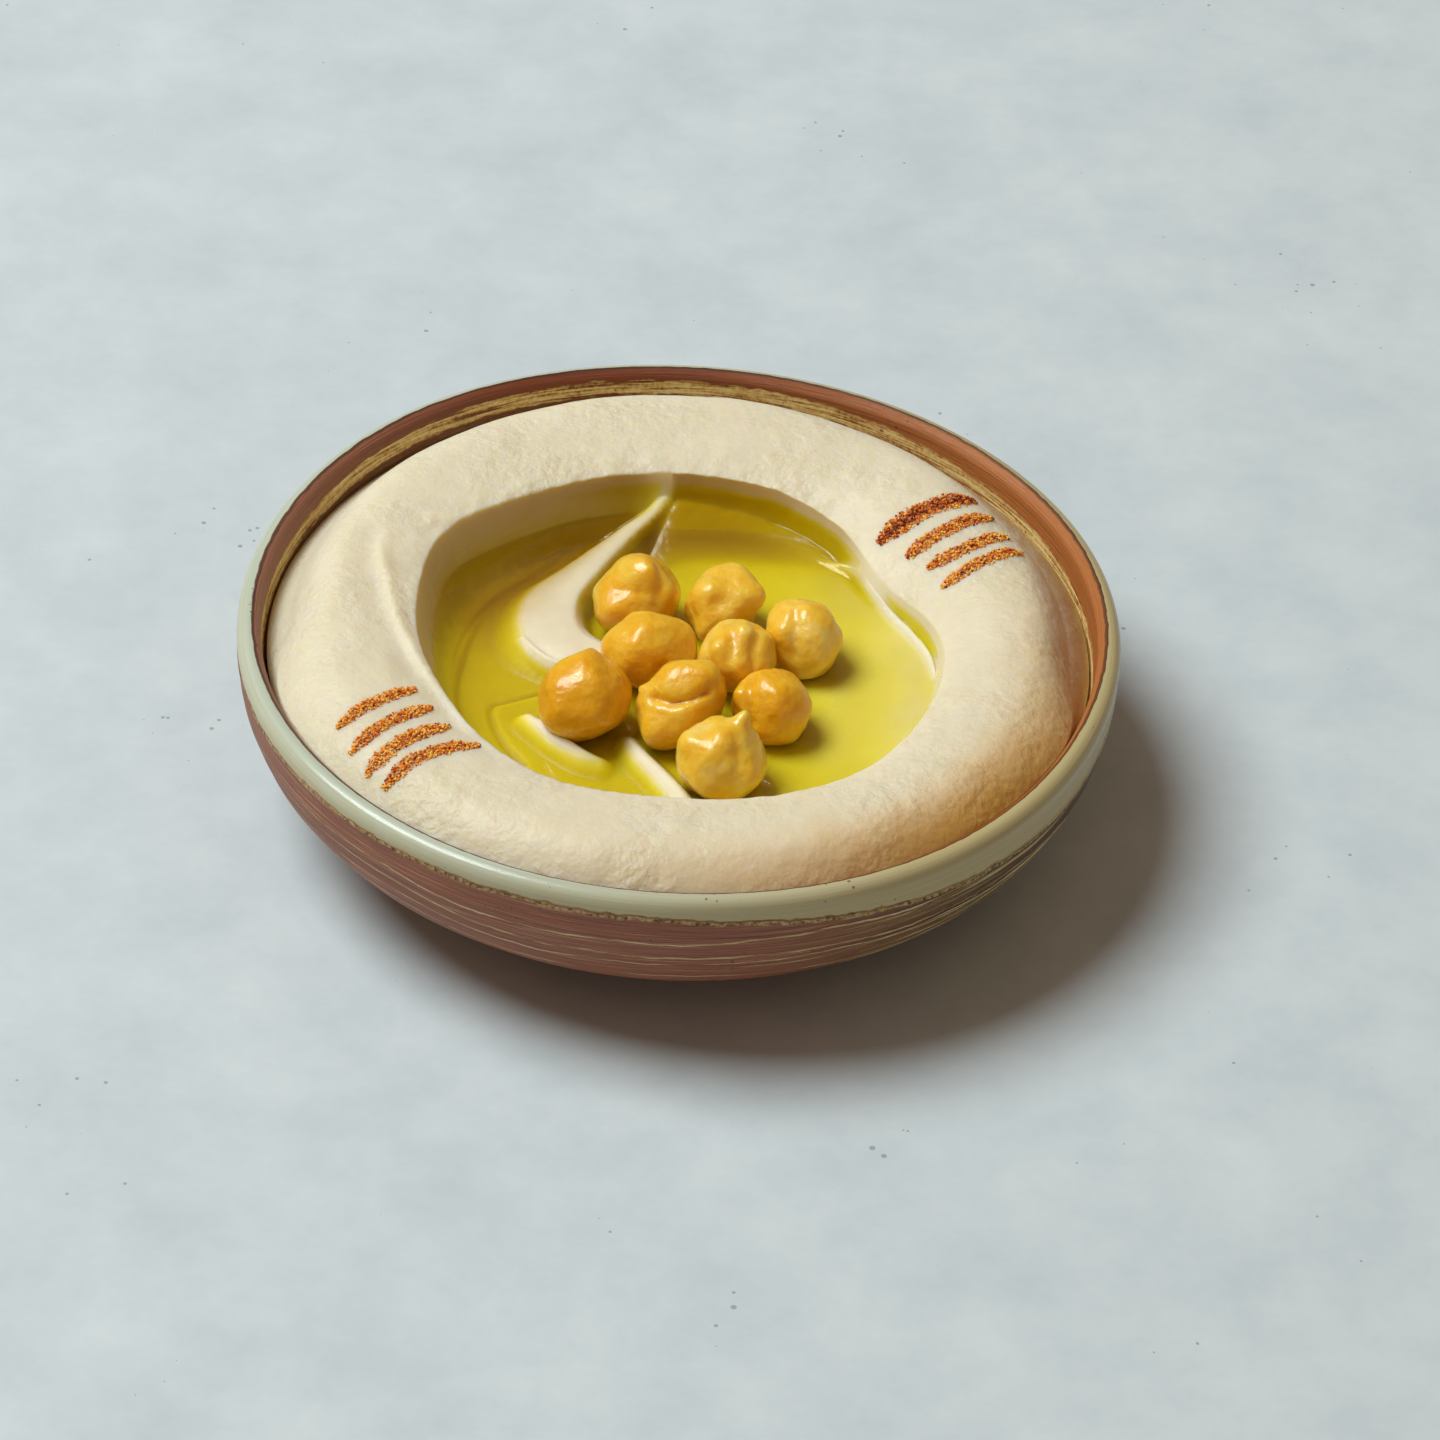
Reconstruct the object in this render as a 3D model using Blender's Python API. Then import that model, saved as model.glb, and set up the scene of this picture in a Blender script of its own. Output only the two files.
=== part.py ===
"""Hummus in its bowl: cream chickpea paste turned up in a thick ring inside a small thrown
stoneware bowl. A spoon has opened a well in the paste and left a curling ridge in it. Olive
oil fills the well round that ridge, and nine cooked chickpeas are heaped in the oil.

Lengths are in millimetres until a mesh is built, which scales them to metres. The bowl
stands on its foot ring at z = 0, on the z axis. Angles turn from +X towards +Y.
"""

import math

import bmesh
import bpy
from mathutils import Euler, Vector

MM = 0.001
GAP = 0.3  # air left between pieces that touch

# Bowl
BOWL_RADIUS = 65.0  # widest, just under the rim
BOWL_HEIGHT = 30.0
RIM_ROUND = 2.1  # radius of the rounded rim, half the wall there
RIM_CENTRE_Z = BOWL_HEIGHT - RIM_ROUND
FOOT_RADIUS = 36.0
FOOT_WIDTH = 4.5
FOOT_RECESS = 2.0
FLOOR_THICKNESS = 4.5
BELLY_Z = 3.0  # where the belly runs out above the foot
BELLY_RADIUS = 32.0
BELLY_POWER = 2.5  # 2 is an ellipse, more is squarer
INSIDE_RADIUS = 30.0  # flat part of the inside floor
INSIDE_POWER = 2.3

# Hummus
CREST_Z = 33.0  # top of the ring, over the rim
CREST_SHARE = 0.43  # how far across the ring its top lies, from outside in
SIDE_TOUCH_Z = 23.5  # the paste leaves the wall here
SIDE_RADIUS = 57.6
SIDE_Z = 26.5
SIDE_POWER = 2.6  # more is rounder between the side and the crest
FRONT_SPREAD = 2.2  # at the front the paste is pushed out against the wall
FRONT_LIFT = 1.6
FRONT_POWER = 1.4  # added to the side's power there
WELL_CENTRE = (0.0, -5.0)
LIP_RADIUS = 39.2  # mouth of the well, about its own centre
LIP_Z = 31.0
WALL_RUN = 2.2  # how far the well's wall comes in on its way down
WALL_FOOT_Z = 24.2
OIL_Z = 25.0
WELL_FLOOR_Z = 23.2
TROUGH_WIDTH = 8.0
OIL_OVERCUT = 2.0  # how far the uncut pool reaches into the paste

# Resolution
BOWL_SIDES = 56
PASTE_SIDES = 60
UNDER_STEPS = 3
RING_STEPS = 7
WALL_STEPS = 4
FLOOR_STEPS = 12
CHICKPEA_SIDES = 12
SHARP_ANGLE = 35.0

# Folds of paste in the well, each a route of rows: x, y, height, then how far its flank falls
# to the traveller's left and right. The spoon's curl starts on the back wall and swings left
# into a broad shelf under the chickpeas.
SWIRL = (
    (-2.6, 33.6, 28.2, 3.2, 4.5),
    (-7.6, 24.6, 27.6, 3.2, 6.5),
    (-10.4, 19.4, 27.5, 3.2, 8.5),
    (-13.2, 13.6, 27.4, 3.4, 11.0),
    (-15.4, 8.2, 27.2, 3.6, 13.0),
    (-15.8, 3.4, 26.8, 4.2, 13.5),
    (-14.4, -0.4, 26.4, 6.0, 12.0),
    (-10.5, -2.6, 26.0, 6.0, 6.0),
)
FLANK_POWER = 1.4  # 1 is a straight flank, more is rounder on top
# A shelf along the back wall, right of the curl's tip.
SHELF = (
    (-1.0, 33.0, 26.5, 3.0, 9.5),
    (7.0, 32.0, 26.4, 3.0, 8.5),
    (15.0, 29.0, 26.1, 3.0, 7.0),
    (22.0, 24.0, 25.5, 3.0, 4.5),
)
# A short fold that just breaks the oil, front left.
ISLAND = (
    (-20.5, -19.5, 25.4, 3.0, 3.6),
    (-17.5, -23.0, 26.2, 3.0, 4.0),
    (-13.5, -26.0, 25.4, 3.0, 3.6),
)
# A fold that runs out from under the chickpeas to the front wall.
TONGUE = (
    (-5.0, -24.0, 25.6, 3.8, 3.8),
    (-2.4, -28.5, 26.2, 3.8, 3.8),
    (0.8, -33.0, 26.4, 3.8, 3.8),
    (3.6, -40.0, 26.8, 3.8, 3.8),
)
# The deep run of oil along the well's left wall: x, y, extra depth.
TROUGH = (
    (-27.0, -18.0, 0.6),
    (-31.5, 0.0, 2.2),
    (-28.6, 9.0, 3.2),
    (-23.4, 17.0, 4.4),
    (-16.0, 24.0, 5.0),
    (-8.5, 30.0, 4.6),
)
# The lap line where the last spoon stroke ends, on the ring's left: x and y.
LAP = (
    (-46.3, 10.3),
    (-45.1, 2.0),
    (-42.4, -7.3),
    (-38.9, -15.2),
    (-34.0, -23.4),
    (-29.2, -29.9),
    (-24.6, -35.3),
)
LAP_DEPTH = 0.9
LAP_WIDTH = 2.0

# Chickpeas: centre x, y, z; half length, width, depth; turn in degrees about x, y, z; taper.
CHICKPEAS = (
    ((-6.6, 7.3, 28.6), (6.2, 6.4, 5.8), (0, -50, 84), 0.16),
    ((6.2, 5.8, 28.6), (5.9, 6.0, 5.2), (30, 30, 235), 0.12),
    ((18.2, -1.4, 28.9), (6.1, 5.6, 5.6), (-20, -48, 100), 0.04),
    ((-4.6, -6.6, 28.8), (6.9, 5.8, 5.6), (10, -5, 10), 0.05),
    ((8.8, -7.4, 29.6), (5.5, 5.6, 5.3), (0, -42, 90), 0.04),
    ((-13.2, -18.6, 29.1), (6.8, 6.4, 6.2), (0, 10, 200), 0.04),
    ((0.9, -19.0, 29.2), (7.5, 5.7, 5.7), (-35, 34, 213), 0.04),
    ((14.4, -17.6, 28.7), (5.7, 5.6, 5.5), (0, -6, 165), 0.06),
    ((7.4, -30.2, 29.0), (6.2, 6.4, 6.1), (0, -45, 60), 0.10),
)
BEAK_LENGTH = 0.13  # share of the half length
BEAK_ANGLE = 26.0
CLEFT_DEPTH = 0.07
CLEFT_WIDTH = 0.22


def fade(low, high, value):
    """0 below low, 1 above high, smooth between."""
    share = min(max((value - low) / (high - low), 0.0), 1.0)
    return share * share * (3.0 - 2.0 * share)


def swell(angle, *humps):
    """Sum of rounded humps round a turn, each given as (place, half width, height)."""
    total = 0.0
    for place, width, height in humps:
        off = (math.degrees(angle) - place + 180.0) % 360.0 - 180.0
        total += height * math.exp(-((off / width) ** 2))
    return total


def squircle(power, turn):
    """The x and y of a superellipse's quarter, turn 0 to 1 from its side to its end."""
    angle = turn * math.pi / 2
    return math.cos(angle) ** (2 / power), math.sin(angle) ** (2 / power)


def inside_wall(turn):
    """Radius and height of the bowl's inside, from under the rim (0) to its floor (1)."""
    out, down = squircle(INSIDE_POWER, turn)
    top = BOWL_RADIUS - 2 * RIM_ROUND
    radius = INSIDE_RADIUS + (top - INSIDE_RADIUS) * out
    floor = FOOT_RECESS + FLOOR_THICKNESS
    return radius, RIM_CENTRE_Z - (RIM_CENTRE_Z - floor) * down


def outside_wall(turn):
    """Radius and height of the bowl's outside, from its widest (0) to its belly (1)."""
    out, down = squircle(BELLY_POWER, turn)
    radius = BELLY_RADIUS + (BOWL_RADIUS - BELLY_RADIUS) * out
    return radius, RIM_CENTRE_Z - (RIM_CENTRE_Z - BELLY_Z) * down


def nearest_on(route, x, y):
    """Distance to a route, signed plus on its left, and the row of values there."""
    best = None
    for start, end in zip(route, route[1:]):
        run_x, run_y = end[0] - start[0], end[1] - start[1]
        share = (x - start[0]) * run_x + (y - start[1]) * run_y
        share = min(max(share / (run_x**2 + run_y**2), 0.0), 1.0)
        here = [a + (b - a) * share for a, b in zip(start, end)]
        distance = math.hypot(x - here[0], y - here[1])
        if best is None or distance < abs(best[0]):
            side = run_x * (y - start[1]) - run_y * (x - start[0])
            best = (math.copysign(distance, side), here)
    return best


def fold_height(route, x, y):
    """Height of a fold's flank at a point: rounded on top, falling away to each side."""
    distance, (_, _, crest, left, right) = nearest_on(route, x, y)
    reach = left if distance > 0 else right
    return crest - (crest - WELL_FLOOR_Z) * (abs(distance) / reach) ** FLANK_POWER


def lip_radius(angle):
    humps = (33, 17, -3.7), (150, 15, 2.4), (205, 22, -1.7), (270, 14, -0.8), (312, 24, 1.0)
    return LIP_RADIUS + swell(angle, *humps)


def lip_height(angle):
    return LIP_Z + swell(angle, (31, 30, -3.2), (150, 50, 0.6), (270, 50, 0.9))


def foot_radius(angle):
    """Where the well's wall ends: it leans back on the left and at the back."""
    return lip_radius(angle) - WALL_RUN - swell(angle, (140, 26, 7.0), (85, 26, 2.6), (180, 18, 2.2))


def well_point(angle, radius, height):
    """A point about the well's centre, lifted where a fold stands higher."""
    x = WELL_CENTRE[0] + radius * math.cos(angle)
    y = WELL_CENTRE[1] + radius * math.sin(angle)
    folds = [fold_height(route, x, y) for route in (SWIRL, SHELF, ISLAND, TONGUE)]
    return Vector((x, y, max([height] + folds)))


def ring_point(angle, share):
    """The ring's top from its outer side (0) over the crest to the well's lip (1)."""
    front = fade(0.05, 0.55, -math.sin(angle))
    side = SIDE_RADIUS + FRONT_SPREAD * front
    outer = Vector((side * math.cos(angle), side * math.sin(angle)))
    reach = lip_radius(angle)
    inner = Vector(WELL_CENTRE) + Vector((reach * math.cos(angle), reach * math.sin(angle)))
    place = outer.lerp(inner, share)
    if share < CREST_SHARE:
        power = SIDE_POWER + FRONT_POWER * front
        drop = (CREST_Z - SIDE_Z - FRONT_LIFT * front) * (1 - share / CREST_SHARE) ** power
    else:
        past = (share - CREST_SHARE) / (1 - CREST_SHARE)
        drop = (CREST_Z - lip_height(angle)) * past**2.2
    distance, _ = nearest_on(LAP, *place)
    drop += LAP_DEPTH * math.exp(-((distance / LAP_WIDTH) ** 2))
    return Vector((*place, CREST_Z - drop))


def paste_point(turn, step):
    """The hummus's skin, step by step from under its middle, out, over the ring and in."""
    angle = turn * 2 * math.pi
    if step <= UNDER_STEPS:
        radius, height = inside_wall(1 - step / UNDER_STEPS * UNDER_SHARE)
        radius = 0.0 if step == 0 else radius - GAP
        return Vector((radius * math.cos(angle), radius * math.sin(angle), height + GAP))
    step -= UNDER_STEPS + 1
    if step <= RING_STEPS:
        return ring_point(angle, 1 - math.cos(step / RING_STEPS * math.pi / 2) ** 1.3)
    step -= RING_STEPS
    lip, foot = lip_radius(angle), foot_radius(angle)
    if step <= WALL_STEPS:
        share = step / WALL_STEPS
        fall = (lip_height(angle) - WALL_FOOT_Z) * (1 - (1 - share) ** 1.5)
        return well_point(angle, lip + (foot - lip) * share**1.5, lip_height(angle) - fall)
    share = (step - WALL_STEPS) / FLOOR_STEPS
    x = WELL_CENTRE[0] + foot * (1 - share) * math.cos(angle)
    y = WELL_CENTRE[1] + foot * (1 - share) * math.sin(angle)
    distance, (_, _, extra) = nearest_on(TROUGH, x, y)
    depth = WALL_FOOT_Z - WELL_FLOOR_Z + extra * math.exp(-((distance / TROUGH_WIDTH) ** 2))
    depth *= fade(0.0, 0.25, share)
    return well_point(angle, foot * (1 - share), WALL_FOOT_Z - depth)


def wall_turn_at(height):
    """The turn of inside_wall that lies at a height, by halving."""
    low, high = 0.0, 1.0
    for _ in range(40):
        middle = (low + high) / 2
        if inside_wall(middle)[1] > height:
            low = middle
        else:
            high = middle
    return middle


UNDER_SHARE = 1 - wall_turn_at(SIDE_TOUCH_Z)


def finish(bm, name, colour, roughness):
    """Close a mesh, point its faces out, scale it to metres and give it a material."""
    bmesh.ops.remove_doubles(bm, verts=bm.verts, dist=0.001)
    bmesh.ops.recalc_face_normals(bm, faces=bm.faces)
    bmesh.ops.scale(bm, vec=(MM, MM, MM), verts=bm.verts)
    mesh = bpy.data.meshes.new(name)
    bm.to_mesh(mesh)
    bm.free()
    mesh.shade_smooth()
    mesh.set_sharp_from_angle(angle=math.radians(SHARP_ANGLE))
    thing = bpy.data.objects.new(name, mesh)
    bpy.context.scene.collection.objects.link(thing)
    material = bpy.data.materials.new(name)
    material.use_nodes = True
    skin = material.node_tree.nodes["Principled BSDF"]
    skin.inputs["Base Color"].default_value = (*colour, 1.0)
    skin.inputs["Roughness"].default_value = roughness
    skin.inputs["Metallic"].default_value = 0.0
    mesh.materials.append(material)
    return thing


def make_cutter(thing):
    thing.hide_render = True
    thing.display_type = "WIRE"


def cut(thing, by):
    """Take a solid, or every solid of a collection, out of a piece."""
    boolean = thing.modifiers.new("cut", "BOOLEAN")
    boolean.operation = "DIFFERENCE"
    boolean.solver = "EXACT"
    if isinstance(by, bpy.types.Collection):
        boolean.operand_type = "COLLECTION"
        boolean.collection = by
    else:
        boolean.object = by


def bowl_profile():
    """The wall's section from the middle of the inside, over the rim, to under the foot."""
    inside = [inside_wall(turn) for turn in (1.0, 0.75, 0.52, 0.33, 0.17, 0.05)]
    rim_x = BOWL_RADIUS - RIM_ROUND
    rim = []
    for angle in (180, 135, 90, 45, 0):
        out = RIM_ROUND * math.cos(math.radians(angle))
        rim.append((rim_x + out, RIM_CENTRE_Z + RIM_ROUND * math.sin(math.radians(angle))))
    outside = [outside_wall(turn) for turn in (0.16, 0.34, 0.52, 0.74)]
    foot = [
        (FOOT_RADIUS, BELLY_Z),
        (FOOT_RADIUS - 0.6, 0.0),
        (FOOT_RADIUS - FOOT_WIDTH, 0.0),
        (FOOT_RADIUS - FOOT_WIDTH - 0.6, FOOT_RECESS),
    ]
    middle = (0.0, FOOT_RECESS + FLOOR_THICKNESS), (0.0, FOOT_RECESS)
    return [middle[0], *inside, *rim, *outside, *foot, middle[1]]


def make_bowl():
    """Spin the wall's section once round the z axis."""
    bm = bmesh.new()
    points = [bm.verts.new((radius, 0.0, height)) for radius, height in bowl_profile()]
    edges = [bm.edges.new(pair) for pair in zip(points, points[1:])]
    bmesh.ops.spin(
        bm,
        geom=points + edges,
        axis=(0, 0, 1),
        cent=(0, 0, 0),
        angle=2 * math.pi,
        steps=BOWL_SIDES,
        use_merge=True,
    )
    return finish(bm, "bowl", (0.55, 0.5, 0.36), 0.3)


def make_paste(name, swollen=0.0):
    """The hummus, or a copy swollen all round, which cuts the oil clear of it."""
    steps = UNDER_STEPS + 1 + RING_STEPS + WALL_STEPS + FLOOR_STEPS
    bm = bmesh.new()
    bmesh.ops.create_grid(bm, x_segments=PASTE_SIDES, y_segments=steps, size=0.5)
    for corner in bm.verts:
        corner.co = paste_point(corner.co.x + 0.5, round((corner.co.y + 0.5) * steps))
    bmesh.ops.remove_doubles(bm, verts=bm.verts, dist=0.001)
    bmesh.ops.triangulate(bm, faces=bm.faces)
    bmesh.ops.recalc_face_normals(bm, faces=bm.faces)
    bm.normal_update()
    for corner in bm.verts:
        corner.co += corner.normal * swollen
    return finish(bm, name, (0.76, 0.68, 0.48), 0.45)


def chickpea_point(way, taper):
    """A chickpea's skin in a direction, on a unit ball: beak at +X, cleft in the x-z plane."""
    off_beak = math.degrees(math.acos(min(max(way.x, -1.0), 1.0)))
    reach = 1.0 + BEAK_LENGTH * math.exp(-((off_beak / BEAK_ANGLE) ** 2))
    on_front = fade(-0.3, 0.6, way.x) * fade(-0.2, 0.5, way.z)
    reach -= CLEFT_DEPTH * on_front * math.exp(-((way.y / CLEFT_WIDTH) ** 2))
    skin = way * reach
    girth = 1.0 - taper * skin.x
    return Vector((skin.x, skin.y * girth, skin.z * girth))


def make_chickpea(name, centre, halves, turns, taper, swollen=0.0):
    bm = bmesh.new()
    rings = CHICKPEA_SIDES * 3 // 4
    bmesh.ops.create_uvsphere(bm, u_segments=CHICKPEA_SIDES, v_segments=rings, radius=1.0)
    turn = Euler([math.radians(angle) for angle in turns]).to_matrix()
    for corner in bm.verts:
        skin = chickpea_point(corner.co.normalized(), taper)
        skin = Vector(a * (half + swollen) for a, half in zip(skin, halves))
        corner.co = Vector(centre) + turn @ skin
    return finish(bm, name, (0.72, 0.4, 0.08), 0.3)


def make_oil(name):
    """The pool before cutting: a disc up to the oil's level, reaching into the well's wall."""
    bottom_z = WELL_FLOOR_Z - max(row[2] for row in TROUGH) - OIL_OVERCUT
    bm = bmesh.new()
    bmesh.ops.create_cone(
        bm,
        cap_ends=True,
        segments=PASTE_SIDES,
        radius1=LIP_RADIUS + OIL_OVERCUT,
        radius2=LIP_RADIUS + OIL_OVERCUT,
        depth=OIL_Z - bottom_z,
    )
    middle = (*WELL_CENTRE, (OIL_Z + bottom_z) / 2)
    bmesh.ops.translate(bm, vec=middle, verts=bm.verts)
    return finish(bm, name, (0.6, 0.5, 0.03), 0.05)


for old in list(bpy.data.objects):
    bpy.data.objects.remove(old, do_unlink=True)

make_bowl()
paste = make_paste("hummus")
paste_clearance = make_paste("hummus_clearance", swollen=GAP)
make_cutter(paste_clearance)

clearances = bpy.data.collections.new("chickpea_clearances")
bpy.context.scene.collection.children.link(clearances)
for number, row in enumerate(CHICKPEAS, start=1):
    make_chickpea(f"chickpea_{number}", *row)
    room = make_chickpea(f"chickpea_clearance_{number}", *row, swollen=GAP)
    bpy.context.scene.collection.objects.unlink(room)
    clearances.objects.link(room)
    make_cutter(room)

cut(paste, clearances)
oil = make_oil("oil")
cut(oil, paste_clearance)
cut(oil, clearances)
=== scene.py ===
import math
import random

import bmesh
import bpy
import numpy as np
from mathutils import Euler, Matrix, Vector, noise


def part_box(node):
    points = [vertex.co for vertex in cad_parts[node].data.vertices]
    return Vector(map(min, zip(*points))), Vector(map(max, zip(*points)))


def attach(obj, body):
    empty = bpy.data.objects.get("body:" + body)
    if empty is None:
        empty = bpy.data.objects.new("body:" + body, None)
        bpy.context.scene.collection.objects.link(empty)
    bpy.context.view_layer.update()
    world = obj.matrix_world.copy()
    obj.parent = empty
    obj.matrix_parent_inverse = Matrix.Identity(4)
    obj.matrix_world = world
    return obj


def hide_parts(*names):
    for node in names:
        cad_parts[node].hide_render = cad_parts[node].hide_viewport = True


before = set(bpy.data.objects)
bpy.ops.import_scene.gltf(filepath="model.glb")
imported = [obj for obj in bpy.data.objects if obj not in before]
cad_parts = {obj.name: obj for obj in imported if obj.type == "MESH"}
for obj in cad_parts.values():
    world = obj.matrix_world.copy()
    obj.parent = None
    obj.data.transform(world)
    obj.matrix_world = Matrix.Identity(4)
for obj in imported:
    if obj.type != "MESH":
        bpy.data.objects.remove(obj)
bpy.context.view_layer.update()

# ----------------------------------------------------------
# Bowl. A small open bowl of brown stoneware, thrown on the wheel and turned to a foot ring.
# Celadon glaze is dipped over the rim; below it brown slip is brushed round the turning
# wheel over an ochre coat, so thin lines of the coat show through between the strokes.
# ----------------------------------------------------------
MM = 0.001
_, bowl_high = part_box("bowl")
BOWL_RADIUS = bowl_high.x / MM
BOWL_HEIGHT = bowl_high.z / MM
RIM_ROUND = 1.75
RIM_X = BOWL_RADIUS - RIM_ROUND
RIM_Z = BOWL_HEIGHT - RIM_ROUND
INSIDE_POWER = 2.3  # the section's curves are superellipses: 2 is an ellipse
OUTSIDE_POWER = 2.5
FLOOR_FLAT = 30.0  # radius of the flat floor inside
UNDERSIDE_FLAT = 32.0
UNDERSIDE_Z = 3.0
FOOT_RADIUS = 36.0
FOOT_WIDTH = 4.5
FOOT_RECESS = 2.0
BOWL_FLOOR_Z = 6.5
BOWL_SIDES = 288
INSIDE_STEPS = 30
RIM_STEPS = 16
OUTSIDE_STEPS = 42
RIM_WOBBLE = 0.28  # a thrown rim is never quite flat
RIM_LEAN = 0.22  # nor quite round
RIM_REACH = 14.0  # how far down the wall both are felt
WHEEL_LINES = 0.07  # depth of the lines the fingers leave
CELADON_WIDTH = 4.0  # from the rim's top down the outside
# Lines of bare coat: distance down the outside, half width, how far each climbs to the right.
BARE_LINES = (
    (8.6, 0.10, 0.9),
    (11.9, 0.12, -0.8),
    (13.6, 0.07, 0.5),
    (18.0, 0.08, -1.2),
    (24.0, 0.10, 1.0),
)


def linear(code):
    """An sRGB hex colour as linear red, green, blue and alpha."""
    parts = [int(code[i : i + 2], 16) / 255 for i in (1, 3, 5)]
    return (*[c / 12.92 if c <= 0.04045 else ((c + 0.055) / 1.055) ** 2.4 for c in parts], 1.0)


def plug(tree, made, inputs):
    """Link or set a node's inputs, each given by its place or name. Strings are colours."""
    for key, value in inputs.items():
        if isinstance(key, int):
            socket = made.inputs[key]
        else:
            socket = next(s for s in made.inputs if s.enabled and s.name == key)
        if isinstance(value, str):
            value = linear(value)
        if isinstance(value, bpy.types.Node):
            value = next(s for s in value.outputs if s.enabled)
        if isinstance(value, bpy.types.NodeSocket):
            tree.links.new(value, socket)
        else:
            socket.default_value = value


def node(tree, kind, inputs=None, **settings):
    """Add a node with its settings and its links or input values."""
    made = tree.nodes.new("ShaderNode" + kind)
    for name, value in settings.items():
        setattr(made, name, value)
    plug(tree, made, inputs or {})
    return made


def maths(tree, operation, *values):
    return node(tree, "Math", dict(enumerate(values)), operation=operation)


def mixed(tree, factor, first, second, **settings):
    """The first colour at factor 0, the second at 1."""
    inputs = {"Factor": factor, "A": first, "B": second}
    return node(tree, "Mix", inputs, data_type="RGBA", **settings)


def ranged(tree, value, low, high, at_low=0.0, at_high=1.0, **settings):
    """A value's run from low to high, turned into one from at_low to at_high."""
    return node(tree, "MapRange", {0: value, 1: low, 2: high, 3: at_low, 4: at_high}, **settings)


def ramp(tree, value, *stops):
    """A value's colour on a ramp, whose stops are a place and a colour each."""
    made = node(tree, "ValToRGB", {0: value})
    elements = made.color_ramp.elements
    while len(elements) < len(stops):
        elements.new(0.5)
    for element, (place, code) in zip(elements, stops):
        element.position = place
        element.color = linear(code)
    return made


def clouds(tree, place, scale, detail, roughness=0.5):
    inputs = {"Vector": place, "Scale": scale, "Detail": detail, "Roughness": roughness}
    return node(tree, "TexNoise", inputs).outputs[0]


def bumped(tree, height, strength, distance):
    return node(tree, "Bump", {"Height": height, "Strength": strength, "Distance": distance})


def attribute(tree, name):
    return node(tree, "Attribute", attribute_name=name).outputs["Fac"]


def new_material(name):
    """A new material, its tree, its Principled skin, and the place on the object."""
    material = bpy.data.materials.new(name)
    material.use_nodes = True
    tree = material.node_tree
    return material, tree, tree.nodes["Principled BSDF"], node(tree, "TexCoord").outputs["Object"]


def add_object(name, data):
    """Put a new object of a mesh, a lamp or a camera in the scene."""
    made = bpy.data.objects.new(name, data)
    bpy.context.scene.collection.objects.link(made)
    return made


def add_mesh(name, bm, material):
    mesh = bpy.data.meshes.new(name)
    bm.to_mesh(mesh)
    bm.free()
    mesh.materials.append(material)
    return add_object(name, mesh)


def make_piece(name, bm, material, slot, *nodes):
    """Close a mesh drawn in mm, scale it to metres, and let it stand for its CAD nodes."""
    bmesh.ops.remove_doubles(bm, verts=bm.verts, dist=0.0005)
    bmesh.ops.recalc_face_normals(bm, faces=bm.faces)
    bmesh.ops.scale(bm, vec=(MM, MM, MM), verts=bm.verts)
    piece = add_mesh(name, bm, material)
    piece.data.shade_smooth()
    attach(piece, "root")
    if nodes:
        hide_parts(*nodes)


def spin_round(bm, points, steps):
    """Join the points in a line and spin it a full turn round the Z axis."""
    edges = [bm.edges.new(pair) for pair in zip(points, points[1:])]
    turn = {"axis": (0, 0, 1), "cent": (0, 0, 0), "angle": 2 * math.pi, "steps": steps}
    bmesh.ops.spin(bm, geom=points + edges, use_merge=True, **turn)


def squircle(power, turn):
    """The x and y of a superellipse's quarter, turn 0 to 1 from its side to its end."""
    angle = turn * math.pi / 2
    return np.cos(angle) ** (2 / power), np.sin(angle) ** (2 / power)


def inside_place(turn):
    """Radius and height on the bowl's inside, turn 0 to 1 from the rim to the floor."""
    out, down = squircle(INSIDE_POWER, turn)
    radius = FLOOR_FLAT + (RIM_X - RIM_ROUND - FLOOR_FLAT) * out
    return radius, RIM_Z - (RIM_Z - BOWL_FLOOR_Z) * down


def bowl_section():
    """Points of the wall's section with their distance along it, 0 at the rim's top."""
    points = [inside_place(1 - step / INSIDE_STEPS) for step in range(INSIDE_STEPS + 1)]
    points[0] = (FLOOR_FLAT, BOWL_FLOOR_Z)
    for step in range(1, RIM_STEPS + 1):
        angle = math.pi * (1 - step / RIM_STEPS)
        points.append((RIM_X + RIM_ROUND * math.cos(angle), RIM_Z + RIM_ROUND * math.sin(angle)))
    for step in range(1, OUTSIDE_STEPS + 1):
        out, down = squircle(OUTSIDE_POWER, step / OUTSIDE_STEPS * 0.86)
        radius = UNDERSIDE_FLAT + (BOWL_RADIUS - UNDERSIDE_FLAT) * out
        points.append((radius, RIM_Z - (RIM_Z - UNDERSIDE_Z) * down))
    inner = FOOT_RADIUS - FOOT_WIDTH
    points += [(FOOT_RADIUS + 0.5, 2.7), (FOOT_RADIUS, 2.2), (FOOT_RADIUS - 0.3, 0.6)]
    points += [(FOOT_RADIUS - 0.8, 0.1), (FOOT_RADIUS - 1.4, 0.0), (inner + 1.0, 0.0)]
    points += [(inner + 0.4, 0.15), (inner, 0.7), (inner - 0.6, FOOT_RECESS)]
    points = [(0.0, BOWL_FLOOR_Z), (15.0, BOWL_FLOOR_Z)] + points
    points += [(15.0, FOOT_RECESS), (0.0, FOOT_RECESS)]
    rim_top = 2 + INSIDE_STEPS + RIM_STEPS // 2
    along = [0.0]
    for before, after in zip(points, points[1:]):
        along.append(along[-1] + math.dist(before, after))
    return [(r, z, far - along[rim_top]) for (r, z), far in zip(points, along)]


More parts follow.
